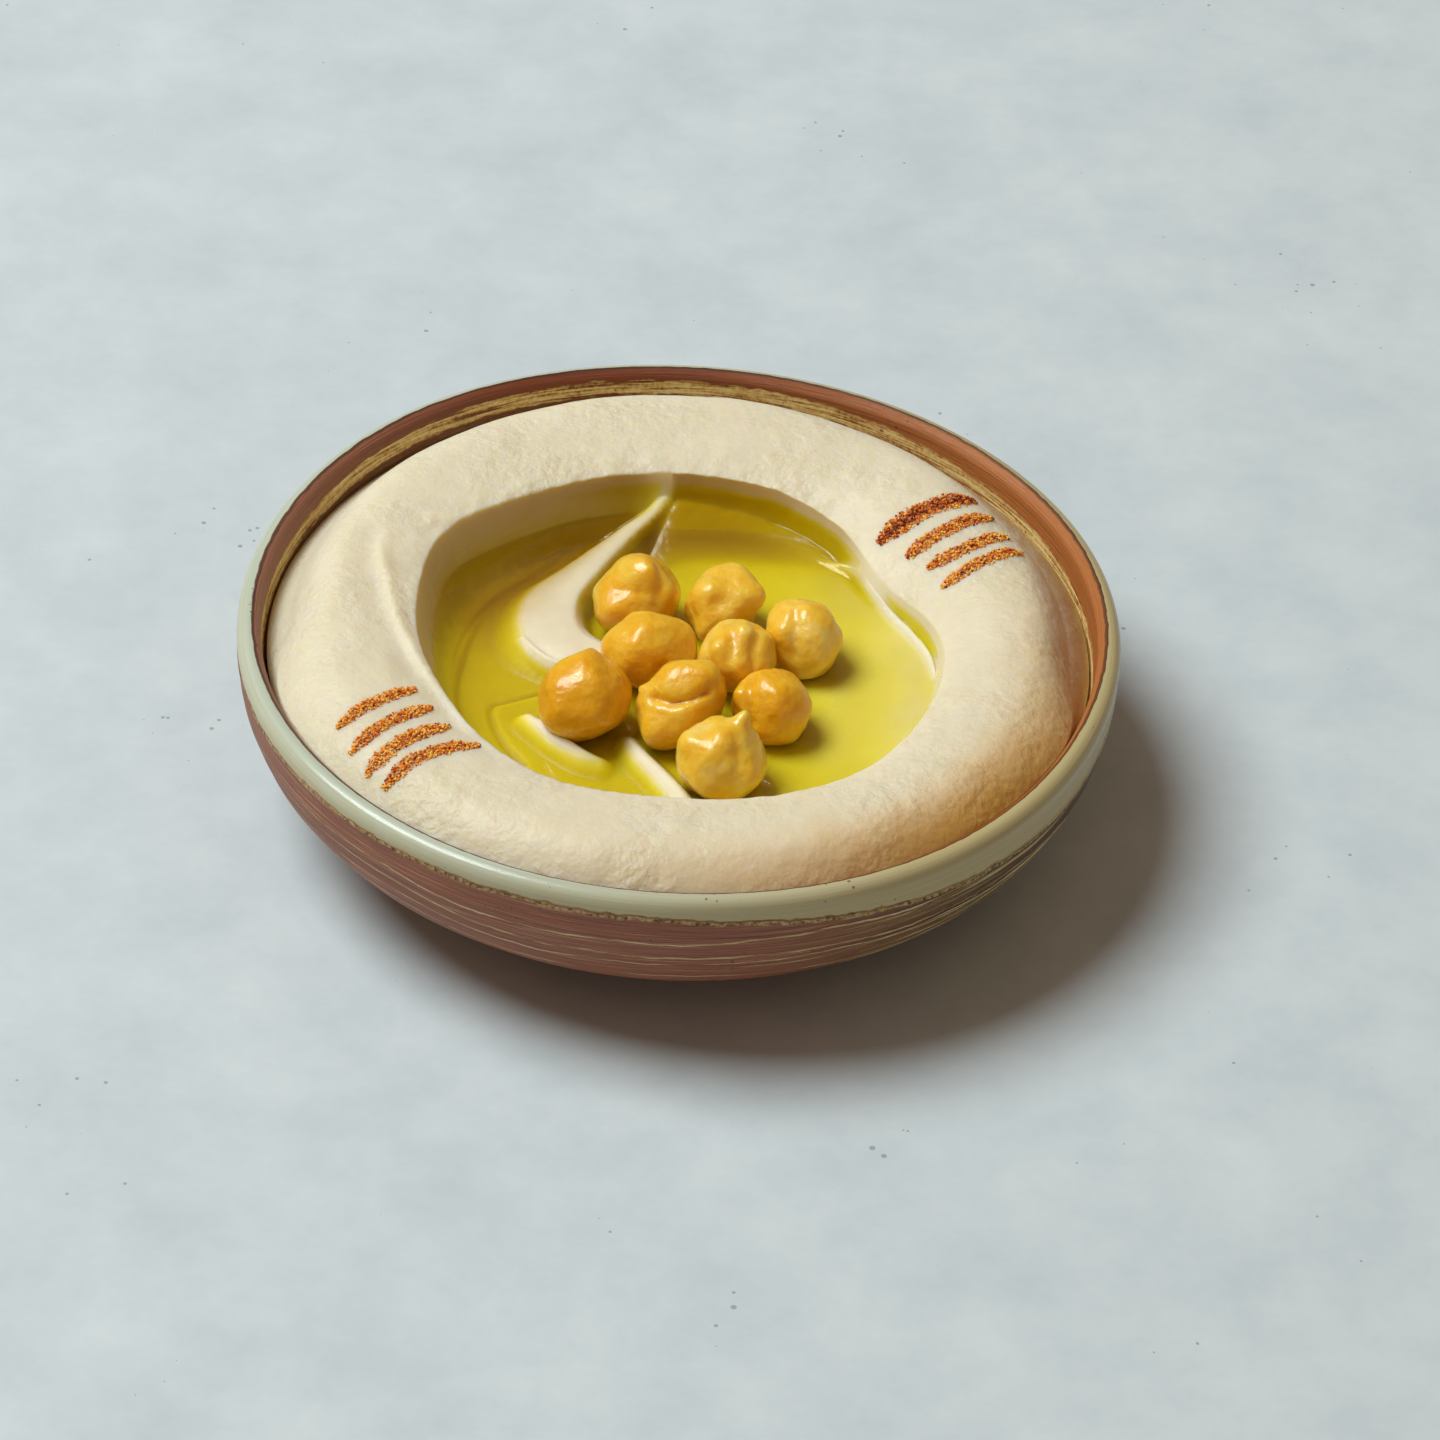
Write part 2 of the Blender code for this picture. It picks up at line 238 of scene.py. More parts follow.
def make_bowl():
    """Spin the section, then let the rim wander and press the wheel lines in."""
    bm = bmesh.new()
    down_wall = bm.verts.layers.float.new("down_wall")
    points = []
    for radius, height, down in bowl_section():
        points.append(bm.verts.new((radius, 0.0, height)))
        points[-1][down_wall] = down
    spin_round(bm, points, BOWL_SIDES)
    for vert in bm.verts:
        angle = math.atan2(vert.co.y, vert.co.x)
        down = vert[down_wall]
        near_rim = math.exp(-((down / RIM_REACH) ** 2))
        out = Vector((math.cos(angle), math.sin(angle), 0.0))
        rise = math.sin(3 * angle + 0.6) + 0.5 * math.sin(5 * angle + 2.0)
        lean = math.sin(2 * angle + 1.1) + 0.6 * math.sin(4 * angle)
        vert.co.z += RIM_WOBBLE * near_rim * rise
        vert.co += out * (RIM_LEAN * near_rim * lean)
        if 2.5 < abs(down) < 34.0:
            wave = math.sin(down * 2.6 + 0.8 * math.sin(angle + 0.5))
            wave += math.sin(down * 1.13 + angle)
            side = 1.0 if down > 0 else -1.0
            vert.co += out * (side * WHEEL_LINES * wave)
    return bm


# Reduction-fired stoneware. The celadon is glassy and pools to a sea-green film, the
# brown slip is half matt with a plum cast, and the bare ochre coat between is rough.
def glazed_stoneware():
    material, tree, skin, place = new_material("glazed_stoneware")
    down = attribute(tree, "down_wall")
    unit = node(tree, "VectorMath", {0: place, "Scale": 1 / (BOWL_RADIUS * MM)}, operation="SCALE")
    split = node(tree, "SeparateXYZ", {0: unit})
    east = split.outputs["X"]
    # Brush marks run round the wheel: long round the bowl, fine down the wall.
    strokes = []
    for round_scale, down_scale, detail in ((1.3, 0.85, 6.0), (7.0, 2.6, 4.0), (2.2, 3.6, 3.0)):
        squeeze = (round_scale, round_scale, 0.0)
        stretched = node(tree, "VectorMath", {0: unit, 1: squeeze}, operation="MULTIPLY")
        lift = maths(tree, "MULTIPLY", down, down_scale)
        lift = node(tree, "CombineXYZ", {"Z": lift})
        at = node(tree, "VectorMath", {0: stretched, 1: lift}, operation="ADD")
        strokes.append(clouds(tree, at, 1.0, detail, 0.6))
    broad, dash, hair = strokes
    slow = clouds(tree, unit, 2.1, 2.0)
    ragged = clouds(tree, unit, 26.0, 3.0)
    drift = ranged(tree, slow, 0.3, 0.7, -0.8, 0.8)
    drift = maths(tree, "ADD", drift, down)
    rough_edge = ranged(tree, ragged, 0.3, 0.7, -0.28, 0.28)
    level = maths(tree, "ADD", down, rough_edge)
    # Brown slip: red where it lines the bowl, plum outside.
    outside = ranged(tree, down, 0.0, 1.0)
    lining = ramp(tree, hair, (0.3, "#64280a"), (0.7, "#8a4416"))
    # Painted light: the lining is painted lighter on the right, where the lamp lights it, and
    # pinker on the left for the sheen on its glaze.
    painted_lit_side = ranged(tree, east, 0.0, 0.7, 0.0, 0.85)
    lining = mixed(tree, painted_lit_side, lining, "#bc7438")
    painted_sheen_side = ranged(tree, east, -0.4, -1.0, 0.0, 0.8)
    lining = mixed(tree, painted_sheen_side, lining, "#a07058")
    plums = ((0.34, "#784630"), (0.48, "#a4664a"), (0.56, "#8c5038"), (0.66, "#cc9470"))
    plum = ramp(tree, hair, *plums)
    # On the right the ochre coat shows under brown strokes instead of the plum.
    olives = ((0.42, "#42260e"), (0.45, "#765a2e"), (0.48, "#46280e"))
    olives += ((0.52, "#a08a50"), (0.55, "#4a2a0e"), (0.6, "#84703c"))
    olive = ramp(tree, broad, *olives)
    right_half = ranged(tree, east, 0.2, 0.7)
    plum = mixed(tree, right_half, plum, olive)
    colour = mixed(tree, outside, lining, plum)
    # Ochre coat left bare: a fixed line or two, and streaks that crowd to the right.
    coat = ramp(tree, dash, (0.36, "#9a7636"), (0.5, "#cdb078"), (0.64, "#e6d8b0"))
    torn_edge = maths(tree, "MULTIPLY_ADD", rough_edge, 0.45, drift)
    bare = None
    for line_down, half, tilt in BARE_LINES:
        off = maths(tree, "SUBTRACT", torn_edge, line_down)
        off = maths(tree, "MULTIPLY_ADD", east, tilt, off)
        off = maths(tree, "ABSOLUTE", off)
        line = ranged(tree, off, half, half + 0.1, 1.0, 0.0)
        bare = line if bare is None else maths(tree, "MAXIMUM", bare, line)
    worn = ranged(tree, dash, 0.40, 0.47)
    bare = maths(tree, "MULTIPLY", bare, worn)
    crowd = ranged(tree, east, 0.0, 0.85, 0.68, 0.5)
    crowd_end = maths(tree, "ADD", crowd, 0.025)
    streak = ranged(tree, broad, crowd, crowd_end)
    bare = maths(tree, "MAXIMUM", bare, streak)
    bare = maths(tree, "MULTIPLY", bare, outside)
    colour = mixed(tree, bare, colour, coat)
    # Inside, the coat shows as a rough gold band some way under the rim, lower on the right.
    east_squared = maths(tree, "POWER", east, 2.0)
    gold_top = maths(tree, "MULTIPLY_ADD", east, 1.25, 2.4)
    gold_top = maths(tree, "MULTIPLY_ADD", east_squared, 3.25, gold_top)
    past = maths(tree, "ADD", level, gold_top)
    past = ranged(tree, past, 1.0, -9.0)
    shares = ((0.09, "#000000"), (0.12, "#ffffff"), (0.34, "#ffffff"))
    shares += ((0.37, "#303030"), (0.46, "#808080"), (0.6, "#202020"))
    band = ramp(tree, past, *shares)
    band_broken = ranged(tree, dash, 0.34, 0.46, 0.15, 1.0)
    band = maths(tree, "MULTIPLY", band, band_broken)
    grit = clouds(tree, unit, 85.0, 3.0, 0.7)
    broken = maths(tree, "MULTIPLY_ADD", dash, 2.0, grit)
    broken = maths(tree, "MULTIPLY", broken, 1 / 3)
    gold = ramp(tree, broken, (0.4, "#6c4616"), (0.46, "#cca054"), (0.58, "#f0d896"))
    colour = mixed(tree, band, colour, gold)
    # Painted shade: further down, the lining is painted dark brown where the wall falls into shade
    # beside the paste.
    deep = ranged(tree, past, 0.32, 0.6, 0.0, 0.7)
    colour = mixed(tree, deep, colour, "#4c3212")
    # Celadon over the rim, wider on the right, ending in a speckled ochre edge.
    right_side = ranged(tree, east, -0.1, 0.9, 0.0, 3.6, interpolation_type="SMOOTHSTEP")
    limit = maths(tree, "ADD", right_side, CELADON_WIDTH)
    to_limit = maths(tree, "SUBTRACT", level, limit)
    edge_band = ranged(tree, to_limit, -0.5, 1.5)
    shares = ((0.18, "#000000"), (0.26, "#ffffff"), (0.5, "#ffffff"), (0.6, "#000000"))
    edge_mask = ramp(tree, edge_band, *shares)
    flecked = ramp(tree, grit, (0.38, "#54391a"), (0.46, "#9c7838"), (0.62, "#c8b078"))
    colour = mixed(tree, edge_mask, colour, flecked)
    # Inside, it ends nearer the rim's top at the back of the bowl.
    far = split.outputs["Y"]
    far = ranged(tree, far, -0.5, 0.4, 0.0, 0.75, interpolation_type="SMOOTHSTEP")
    inner_level = maths(tree, "MULTIPLY_ADD", rough_edge, 0.35, down)
    inner_level = maths(tree, "SUBTRACT", inner_level, far)
    top = ranged(tree, to_limit, -0.45, -0.15, 1.0, 0.0)
    inner = ranged(tree, inner_level, -0.75, -0.6)
    celadon = maths(tree, "MULTIPLY", top, inner)
    pooled = ranged(tree, level, 0.5, 4.2)
    glaze = mixed(tree, pooled, "#c0c9b5", "#c2b484")
    ripe = ranged(tree, east, -0.4, 0.6, 0.0, 0.9)
    glaze = mixed(tree, ripe, glaze, "#b8a874")
    veil = ranged(tree, hair, 0.35, 0.65, 0.94, 1.06)
    glaze = node(tree, "VectorMath", {0: glaze, "Scale": veil}, operation="SCALE")
    colour = mixed(tree, celadon, colour, glaze)
    # A dark line where the glaze breaks thin at the inner edge of the rim.
    broke = ranged(tree, inner_level, -1.25, -1.05)
    broke_end = ranged(tree, inner_level, -0.7, -0.55, 0.75, 0.0)
    broke = maths(tree, "MULTIPLY", broke, broke_end)
    colour = mixed(tree, broke, colour, "#3c2010")
    # Iron specks that bleed through the glaze, a few tenths of a millimetre across.
    speck = node(tree, "TexVoronoi", {"Vector": place, "Scale": 760.0, "Randomness": 1.0})
    speck_seed = clouds(tree, place, 120.0, 1.0)
    rare = ranged(tree, speck_seed, 0.54, 0.7, 0.0, 0.22)
    dot = maths(tree, "LESS_THAN", speck, rare)
    dot = maths(tree, "MULTIPLY", dot, 0.7)
    colour = mixed(tree, dot, colour, "#5c4226")
    dry = maths(tree, "MAXIMUM", bare, band)
    rough = ranged(tree, dry, 0.0, 1.0, 0.5, 0.66)
    rough = ranged(tree, celadon, 0.0, 1.0, rough, 0.2)
    relief = maths(tree, "ADD", broad, dash)
    relief = maths(tree, "ADD", relief, hair)
    calm = ranged(tree, celadon, 0.0, 1.0, 1.0, 0.12)
    relief = maths(tree, "MULTIPLY", relief, calm)
    bump = bumped(tree, relief, 0.5, 0.0005)
    plug(tree, skin, {"Base Color": colour, "Roughness": rough, "Normal": bump, "IOR": 1.47})
    return material


make_piece("bowl_thrown", make_bowl(), glazed_stoneware(), "stoneware", "bowl")

# ----------------------------------------------------------
# Hummus. Blended chickpeas and tahini, spooned into the bowl and turned on itself, so it
# stands as a thick ring with a well in it. The spoon's curl runs from the back wall
# round to the left, and folds of paste lie just under the oil.
# ----------------------------------------------------------
PASTE_STEPS = 440
UNDER_ROWS = 7
RING_ROWS = 46
WALL_ROWS = 22
FLOOR_ROWS = 84
SIDE_RADIUS = 57.6
SIDE_Z = 26.5
FRONT_SPREAD = 3.9  # at the front the paste is pushed out against the wall
FRONT_LIFT = 2.2  # and a little up it
SIDE_POWER = 2.6  # how blunt the ring's outer shoulder is, and how much less at the front
FRONT_EASE = 0.5
LIP_POWER = 2.2  # how blunt its inner shoulder is
CREST_Z = 33.0
CREST_SHARE = 0.43  # how far in from the ring's side to its lip the crest is
WELL_X = 0.0
WELL_Y = -5.0
LIP_RADIUS = 39.2
LIP_Z = 31.0
WALL_LEAN = 2.2
WALL_FOOT_Z = 24.3
OIL_Z = 25.0
FLOOR_Z = 23.6
DEEPEST_Z = 21.7
OIL_KEEPS = (0.90, 0.84, 0.03)  # red, green and blue light left after 1 mm of oil
UNDER_GAP = 0.3  # between the paste's underside and the bowl
# How the well wanders from a circle, each as degrees round it, half width and millimetres:
# its lip outward and upward, its wall's foot inward and downward.
LIP_OUT = ((33, 17, -3.7), (150, 15, 2.4), (205, 22, -1.7), (270, 14, -0.8), (312, 24, 1.0))
LIP_UP = ((31, 30, -3.2), (150, 50, 0.6), (270, 50, 0.9))
WALL_IN = ((144, 28, 7.6), (85, 26, 2.6), (180, 18, 2.2), (16, 18, -1.5))
WALL_DOWN = (132, 44, 3.4)
BOUNCE_AT = -40.0  # degrees round from the right, where the warm light thrown back by the brown wall is painted most
BOUNCE_WIDTH = 42.0

# Folds of paste as routes of rows: x, y, height, then how far the flank falls to the
# traveller's left and right.
SWIRL = (
    (-2.6, 33.6, 27.6, 2.4, 3.5),
    (-4.6, 29.5, 27.1, 2.6, 4.5),
    (-7.6, 24.6, 26.9, 2.8, 5.5),
    (-10.4, 19.4, 26.9, 2.8, 7.0),
    (-13.2, 13.6, 27.0, 2.6, 9.0),
    (-15.4, 8.2, 27.1, 2.4, 11.5),
    (-15.8, 3.4, 26.8, 3.8, 12.2),
    (-14.4, -0.4, 26.5, 6.0, 11.5),
    (-10.5, -2.6, 26.0, 6.0, 6.0),
)
SHELF = (
    (-1.0, 33.0, 27.0, 3.0, 10.5),
    (7.0, 32.0, 26.4, 3.0, 9.5),
    (15.0, 29.0, 25.6, 3.0, 8.0),
    (22.0, 24.0, 24.9, 3.0, 5.0),
)
LEDGE = (
    (18.0, 24.6, 24.3, 1.6, 4.5),
    (21.5, 22.4, 25.0, 1.3, 3.0),
    (25.8, 19.6, 26.0, 1.2, 2.2),
    (28.4, 14.7, 26.2, 1.1, 1.8),
    (31.5, 9.2, 26.3, 1.1, 1.7),
    (34.4, 4.9, 26.3, 1.1, 1.7),
    (36.9, 0.4, 26.1, 1.1, 1.8),
    (38.0, -4.2, 25.5, 1.1, 2.0),
)
ISLAND = (
    (-21.2, -18.4, 25.1, 2.2, 2.6),
    (-19.0, -20.8, 25.7, 2.3, 2.8),
    (-16.4, -23.6, 25.9, 2.4, 3.0),
    (-13.0, -26.2, 25.4, 2.4, 3.0),
    (-10.4, -27.4, 24.9, 2.2, 2.6),
)
TONGUE = (
    (-6.4, -22.6, 25.2, 2.6, 2.6),
    (-4.2, -26.6, 25.9, 2.6, 2.8),
    (-1.4, -30.4, 26.1, 2.6, 3.0),
    (1.4, -35.0, 26.4, 2.8, 3.0),
    (3.4, -40.0, 27.0, 3.0, 3.2),
)
# The wet white edge where the curl's foot meets the oil.
HEEL = (
    (-23.0, -0.8, 25.6, 1.6, 1.8),
    (-21.2, -4.0, 26.3, 1.8, 1.6),
    (-18.0, -6.6, 26.2, 2.0, 1.6),
    (-13.4, -6.4, 25.8, 2.0, 1.8),
)
# A spill of thicker paste under the oil at the front left, and its sharp edge.
SPILL = (
    (-16.0, -8.4),
    (-20.0, -10.6),
    (-24.4, -12.6),
    (-26.8, -14.0),
    (-26.4, -18.0),
    (-24.6, -22.6),
    (-21.4, -27.4),
)
# The lap line where the last spoon stroke ends, on the ring's left.
LAP = (
    (-45.6, 16.0),
    (-46.3, 9.0),
    (-45.1, 2.0),
    (-42.4, -7.3),
    (-38.9, -15.2),
    (-34.0, -23.4),
    (-29.2, -29.9),
    (-22.6, -36.6),
)
# The deep run of oil along the well's left wall: x, y, extra depth.
TROUGH = (
    (-26.0, -18.0, 0.3),
    (-30.0, -8.0, 0.8),
    (-30.0, 0.0, 1.4),
    (-27.6, 9.0, 2.2),
    (-22.4, 17.0, 3.0),
    (-15.4, 23.6, 3.6),
    (-8.5, 29.5, 3.8),
)


def fade(low, high, value):
    """0 below low, 1 above high, smooth between."""
    share = np.clip((value - low) / (high - low), 0.0, 1.0)
    return share * share * (3.0 - 2.0 * share)


def hump(off, width, power=2):
    """1 where off is 0, falling away to both sides of it."""
    return np.exp(-((off / width) ** power))


def swell(angle, *humps):
    """Sum of rounded humps round a turn, each given as (place, half width, height)."""
    total = 0.0
    for place, width, height in humps:
        off = (np.degrees(angle) - place + 180.0) % 360.0 - 180.0
        total = total + height * hump(off, width)
    return total


def smooth_route(rows, steps=10):
    """A route's rows joined by one smooth curve through them."""
    rows = np.array(rows, float)
    padded = np.vstack([2 * rows[0] - rows[1], rows, 2 * rows[-1] - rows[-2]])
    points = []
    for before, start, end, after in zip(padded, padded[1:], padded[2:], padded[3:]):
        for step in range(steps):
            t = step / steps
            bend = 2 * before - 5 * start + 4 * end - after
            turn = -before + 3 * start - 3 * end + after
            points.append(start + 0.5 * t * ((end - before) + t * (bend + t * turn)))
    points.append(rows[-1])
    return np.array(points)


def nearest_on(route, x, y):
    """Distance to a route, signed plus on its left, and the row of values there."""
    best = np.full(x.shape, 1e9)
    side = np.zeros(x.shape)
    values = np.zeros((route.shape[1], *x.shape))
    for start, end in zip(route, route[1:]):
        run = end[:2] - start[:2]
        share = ((x - start[0]) * run[0] + (y - start[1]) * run[1]) / (run @ run)
        share = np.clip(share, 0.0, 1.0)
        here = start[:, None] + (end - start)[:, None] * share
        distance = np.hypot(x - here[0], y - here[1])
        closer = distance < best
        turn = run[0] * (y - start[1]) - run[1] * (x - start[0])
        best = np.where(closer, distance, best)
        side = np.where(closer, np.sign(turn), side)
        values = np.where(closer, here, values)
    return best * side, values


def fold(route, x, y, left_power=1.5, right_power=1.5, floor=FLOOR_Z):
    """Height of a fold's flanks: rounded on top, falling away to each side."""
    distance, (_, _, crest, left, right) = nearest_on(smooth_route(route), x, y)
    reach = np.where(distance > 0, left, right)
    power = np.where(distance > 0, left_power, right_power)
    return crest - (crest - floor + 0.6) * (np.abs(distance) / reach) ** power


def blend_max(softness, *heights):
    """The highest of several heights, rounded where they meet."""
    top = np.maximum.reduce(heights)
    total = sum(np.exp((height - top) / softness) for height in heights)
    return top + softness * np.log(total)


def ripple(x, y, size, seed):
    """Smooth unevenness between -1 and 1, its bumps about size mm across."""
    return np.array([noise.noise(Vector((a / size, b / size, seed))) for a, b in zip(x, y)])


def lip_radius(angle):
    return LIP_RADIUS + swell(angle, *LIP_OUT)


def lip_height(angle):
    return LIP_Z + swell(angle, *LIP_UP)


def foot_radius(angle):
    """Where the well's wall ends: it leans back on the left and at the back."""
    return lip_radius(angle) - WALL_LEAN - swell(angle, *WALL_IN)


def foot_height(angle):
    """The wall runs on down under the oil at the left and at the back."""
    return WALL_FOOT_Z - swell(angle, WALL_DOWN)


def well_height(x, y):
    """The well's floor with its folds, before the wall is added."""
    uneven = 0.10 * ripple(x, y, 9.0, 1.0) + 0.05 * ripple(x, y, 3.5, 2.0)
    floor = FLOOR_Z + uneven
    floor += (0.95 * fade(6.0, 26.0, x) + 0.3 * fade(26.0, 36.0, x)) * fade(-40.0, -22.0, y)
    floor -= 0.7 * (1 - fade(-14.0, 4.0, x))
    distance, (_, _, extra) = nearest_on(smooth_route(TROUGH), x, y)
    floor -= extra * hump(distance, 7.5)
    distance, _ = nearest_on(smooth_route(SPILL), x, y)
    floor += 0.35 * fade(-0.6, 0.2, distance) * hump(np.maximum(distance, 0.0), 9.0)
    floor -= 0.9 * hump(distance, 0.45)
    curl = fold(SWIRL, x, y, 1.2, 2.6, FLOOR_Z - 1.6)
    curl = curl + 0.10 * ripple(x, y, 2.6, 15.0)
    bed = blend_max(
        0.16,
        floor,
        curl,
        fold(SHELF, x, y, 1.4, 1.25),
        fold(LEDGE, x, y, 1.6, 1.0),
        fold(HEEL, x, y),
        fold(ISLAND, x, y),
        fold(TONGUE, x, y),
    )
    return blend_max(0.5, bed, np.full_like(bed, DEEPEST_Z))


def paste_place(angle, row):
    """Points of the paste's skin. Rows run 0 to 1 underneath, to 2 over the ring, to 3 down
    the well's wall and to 4 in to the well's middle."""
    cos, sin = np.cos(angle), np.sin(angle)
    lip, foot = lip_radius(angle), foot_radius(angle)
    # Underneath, a little off the bowl's inside.
    under_r, under_z = inside_place(1.0 - np.clip(row, 0, 1) * 0.90)
    under_r = (under_r - UNDER_GAP) * (row > 0)
    under_z = under_z + UNDER_GAP
    # Over the ring.
    share = 1 - np.cos(np.clip(row - 1, 0, 1) * math.pi / 2) ** 1.3
    front = fade(0.0, 0.42, -sin)
    side = SIDE_RADIUS + FRONT_SPREAD * front
    ring_x = side * cos * (1 - share) + (WELL_X + lip * cos) * share
    ring_y = side * sin * (1 - share) + (WELL_Y + lip * sin) * share
    side_fall = CREST_Z - SIDE_Z - FRONT_LIFT * front
    blunt = SIDE_POWER - FRONT_EASE * front
    outside = side_fall * np.clip(1 - share / CREST_SHARE, 0, 1) ** blunt
    past = np.clip((share - CREST_SHARE) / (1 - CREST_SHARE), 0, 1)
    inside = (CREST_Z - lip_height(angle)) * past**LIP_POWER
    ring_z = CREST_Z - outside - inside
    # Down the wall, and in over the floor.
    run_in = np.clip(row - 2, 0, 1) ** 1.4
    scoop = 1.5 + 2.0 * np.clip((lip - foot - WALL_LEAN) / 7.0, 0, 1)
    fall = (lip_height(angle) - foot_height(angle)) * (1 - (1 - run_in) ** scoop)
    wall_r = lip + (foot - lip) * run_in
    share = np.clip(row - 3, 0, 1)
    well_r = np.where(row > 3, foot * (1 - share), wall_r)
    x = np.where(row <= 1, under_r * cos, np.where(row <= 2, ring_x, WELL_X + well_r * cos))
    y = np.where(row <= 1, under_r * sin, np.where(row <= 2, ring_y, WELL_Y + well_r * sin))
    z = np.where(row <= 1, under_z, ring_z)
    in_well = row > 2
    deep = well_height(x[in_well], y[in_well])
    wall_z = lip_height(angle)[in_well] - fall[in_well]
    settle = fade(0.0, 0.12, share[in_well]) * 6.0
    z[in_well] = blend_max(0.12, wall_z - settle, deep)
    return x, y, z


def worked_skin(x, y, z, row, angle):
    """The paste's heights with the marks of the spoon and the unevenness of its skin."""
    # The lap's crease: sunk on its outer side, lifted to an edge on its inner side.
    on_ring = fade(1.02, 1.25, row) * (1 - fade(1.9, 2.0, row))
    distance, _ = nearest_on(smooth_route(LAP), x, y)
    ends = np.minimum(1.0, np.hypot(x - LAP[0][0], y - LAP[0][1]) / 9.0)
    ends = ends * np.minimum(1.0, np.hypot(x - LAP[-1][0], y - LAP[-1][1]) / 9.0)
    crease = -hump(np.minimum(distance, 0), 3.2) * (distance <= 0)
    crease = crease - hump(np.maximum(distance, 0), 0.6) * (distance > 0)
    crease = crease + 0.6 * hump(distance - 1.5, 1.2)
    z = z + 0.75 * crease * ends * on_ring
    # Long waves of the spoon on the ring, and a rougher skin towards the lip.
    skin = fade(1.1, 1.4, row) * (1 - fade(2.6, 3.0, row))
    roughen = 0.5 + 0.9 * fade(1.55, 1.95, row) + 0.5 * (1 - fade(1.1, 1.35, row))
    z = z + skin * (0.34 * ripple(x, y, 16.0, 5.0) + 0.15 * roughen * ripple(x, y, 3.4, 6.0))
    z = z + skin * 0.09 * roughen * ripple(x, y, 1.4, 7.0)
    # The lip is torn where the spoon left it, at the back and the left.
    torn = fade(1.7, 1.98, row) * (1 - fade(2.2, 2.6, row)) * fade(-0.35, 0.5, np.sin(angle))
    return z + torn * (0.25 * ripple(x, y, 3.0, 11.0) + 0.1 * ripple(x, y, 1.1, 12.0))


def oil_marks(x, y, z, row):
    """Thickness in mm of the film of oil on the paste, and how far oil has soaked into it; both
    also carry painted light and shade.
    """
    wall_angle = np.arctan2(y - WELL_Y, x - WELL_X)
    reach = np.hypot(x - WELL_X, y - WELL_Y)
    off_wall = foot_radius(wall_angle) - reach
    on_ledge, _ = nearest_on(smooth_route(LEDGE), x, y)
    on_curl, _ = nearest_on(smooth_route(SWIRL), x, y)
    in_trough, _ = nearest_on(smooth_route(TROUGH), x, y)
    # On the wall under the lip, at the back and at the left. At the back the film is thickened to
    # paint the gold light the oil throws back onto the shaded wall.
    bank = fade(0.1, 1.6, lip_height(wall_angle) - 1.2 - z + 0.5 * ripple(x, y, 5.0, 9.0))
    back = fade(0.3, 0.8, np.sin(wall_angle)) * fade(-0.6, 0.4, np.cos(wall_angle))
    film = (row > 2) * bank * (0.06 + 1.6 * back) * (1 - fade(-1.5, 1.0, off_wall - 0.6))
    left = fade(-0.2, 0.5, -np.cos(wall_angle)) * fade(-0.5, 0.9, np.sin(wall_angle))
    under_lip = np.clip((lip_height(wall_angle) - z) / 6.4, 0.0, 1.0)
    on_wall = (row > 2) * left * under_lip**3 * fade(OIL_Z - 2.0, OIL_Z, z)
    film = np.maximum(film, 0.5 * on_wall * (1 - fade(2.9, 3.2, row)))
    # In the channel between the ledge and the right lip, and none on the ledge's crest.
    channel = fade(0.6, 1.1, on_ledge) * (1 - fade(2.6, 4.2, on_ledge)) * fade(20.0, 25.0, x)
    channel = channel * (1 - fade(25.6, 27.2, z))
    film = np.maximum(film, 0.8 * channel)
    film = film * (1 - 0.95 * hump(on_ledge, 0.9, 4))
    # Over the shelf behind the chickpeas and along the curl's east foot, where a thicker film also
    # paints the curl's shadow, and none on its crest.
    shelf_edge = 24.0 - 0.012 * (x - 5.0) ** 2
    on_shelf = fade(-0.2, 0.8, on_curl) * fade(-3.0, 3.0, y - shelf_edge)
    on_shelf = on_shelf * (1 - fade(22.0, 29.0, x))
    shelf_film = on_shelf * (2.0 - 1.5 * fade(4.0, 20.0, x))
    film_and_shadow_strip = 1.1 * fade(0.1, 0.6, on_curl) * (1 - fade(1.6, 2.6, on_curl)) * fade(4.0, 10.0, y)
    film = np.where(row > 2.3, np.maximum(film, np.maximum(shelf_film, film_and_shadow_strip)), film)
    film = film * (1 - 0.95 * hump(on_curl + 0.6, 1.3))
    # Soaked paste is browner, and the same brown paints shade: in the run at the left, on the back
    # and left walls and on the shelf.
    soak_and_shade = hump(in_trough, 8.0) * fade(-6.0, 14.0, y)
    soak_and_shade = np.maximum(soak_and_shade, 0.35 * bank * back * (1 - fade(2.95, 3.3, row)))
    soak_and_shade = np.maximum(soak_and_shade, 0.9 * on_shelf * (1 - 0.3 * fade(8.0, 20.0, x)))
    soak_and_shade = np.maximum(soak_and_shade, 0.62 * left * under_lip * (1 - fade(2.9, 3.3, row)))
    soak_and_shade = soak_and_shade * (1 - 0.75 * hump(on_curl + 1.0, 2.2) * (on_curl < 0.3)) * (row > 2)
    return film, soak_and_shade


def painted_bounce_light(x, y, row):
    """Painted warm light on the paste's shaded front-right flank, thrown back by the brown wall.
    """
    round_it = np.degrees(np.arctan2(y, x)) - BOUNCE_AT
    ragged = row + 0.05 * ripple(x, y, 4.0, 13.0)
    return hump(round_it, BOUNCE_WIDTH) * (1 - fade(1.2, 1.74, ragged))


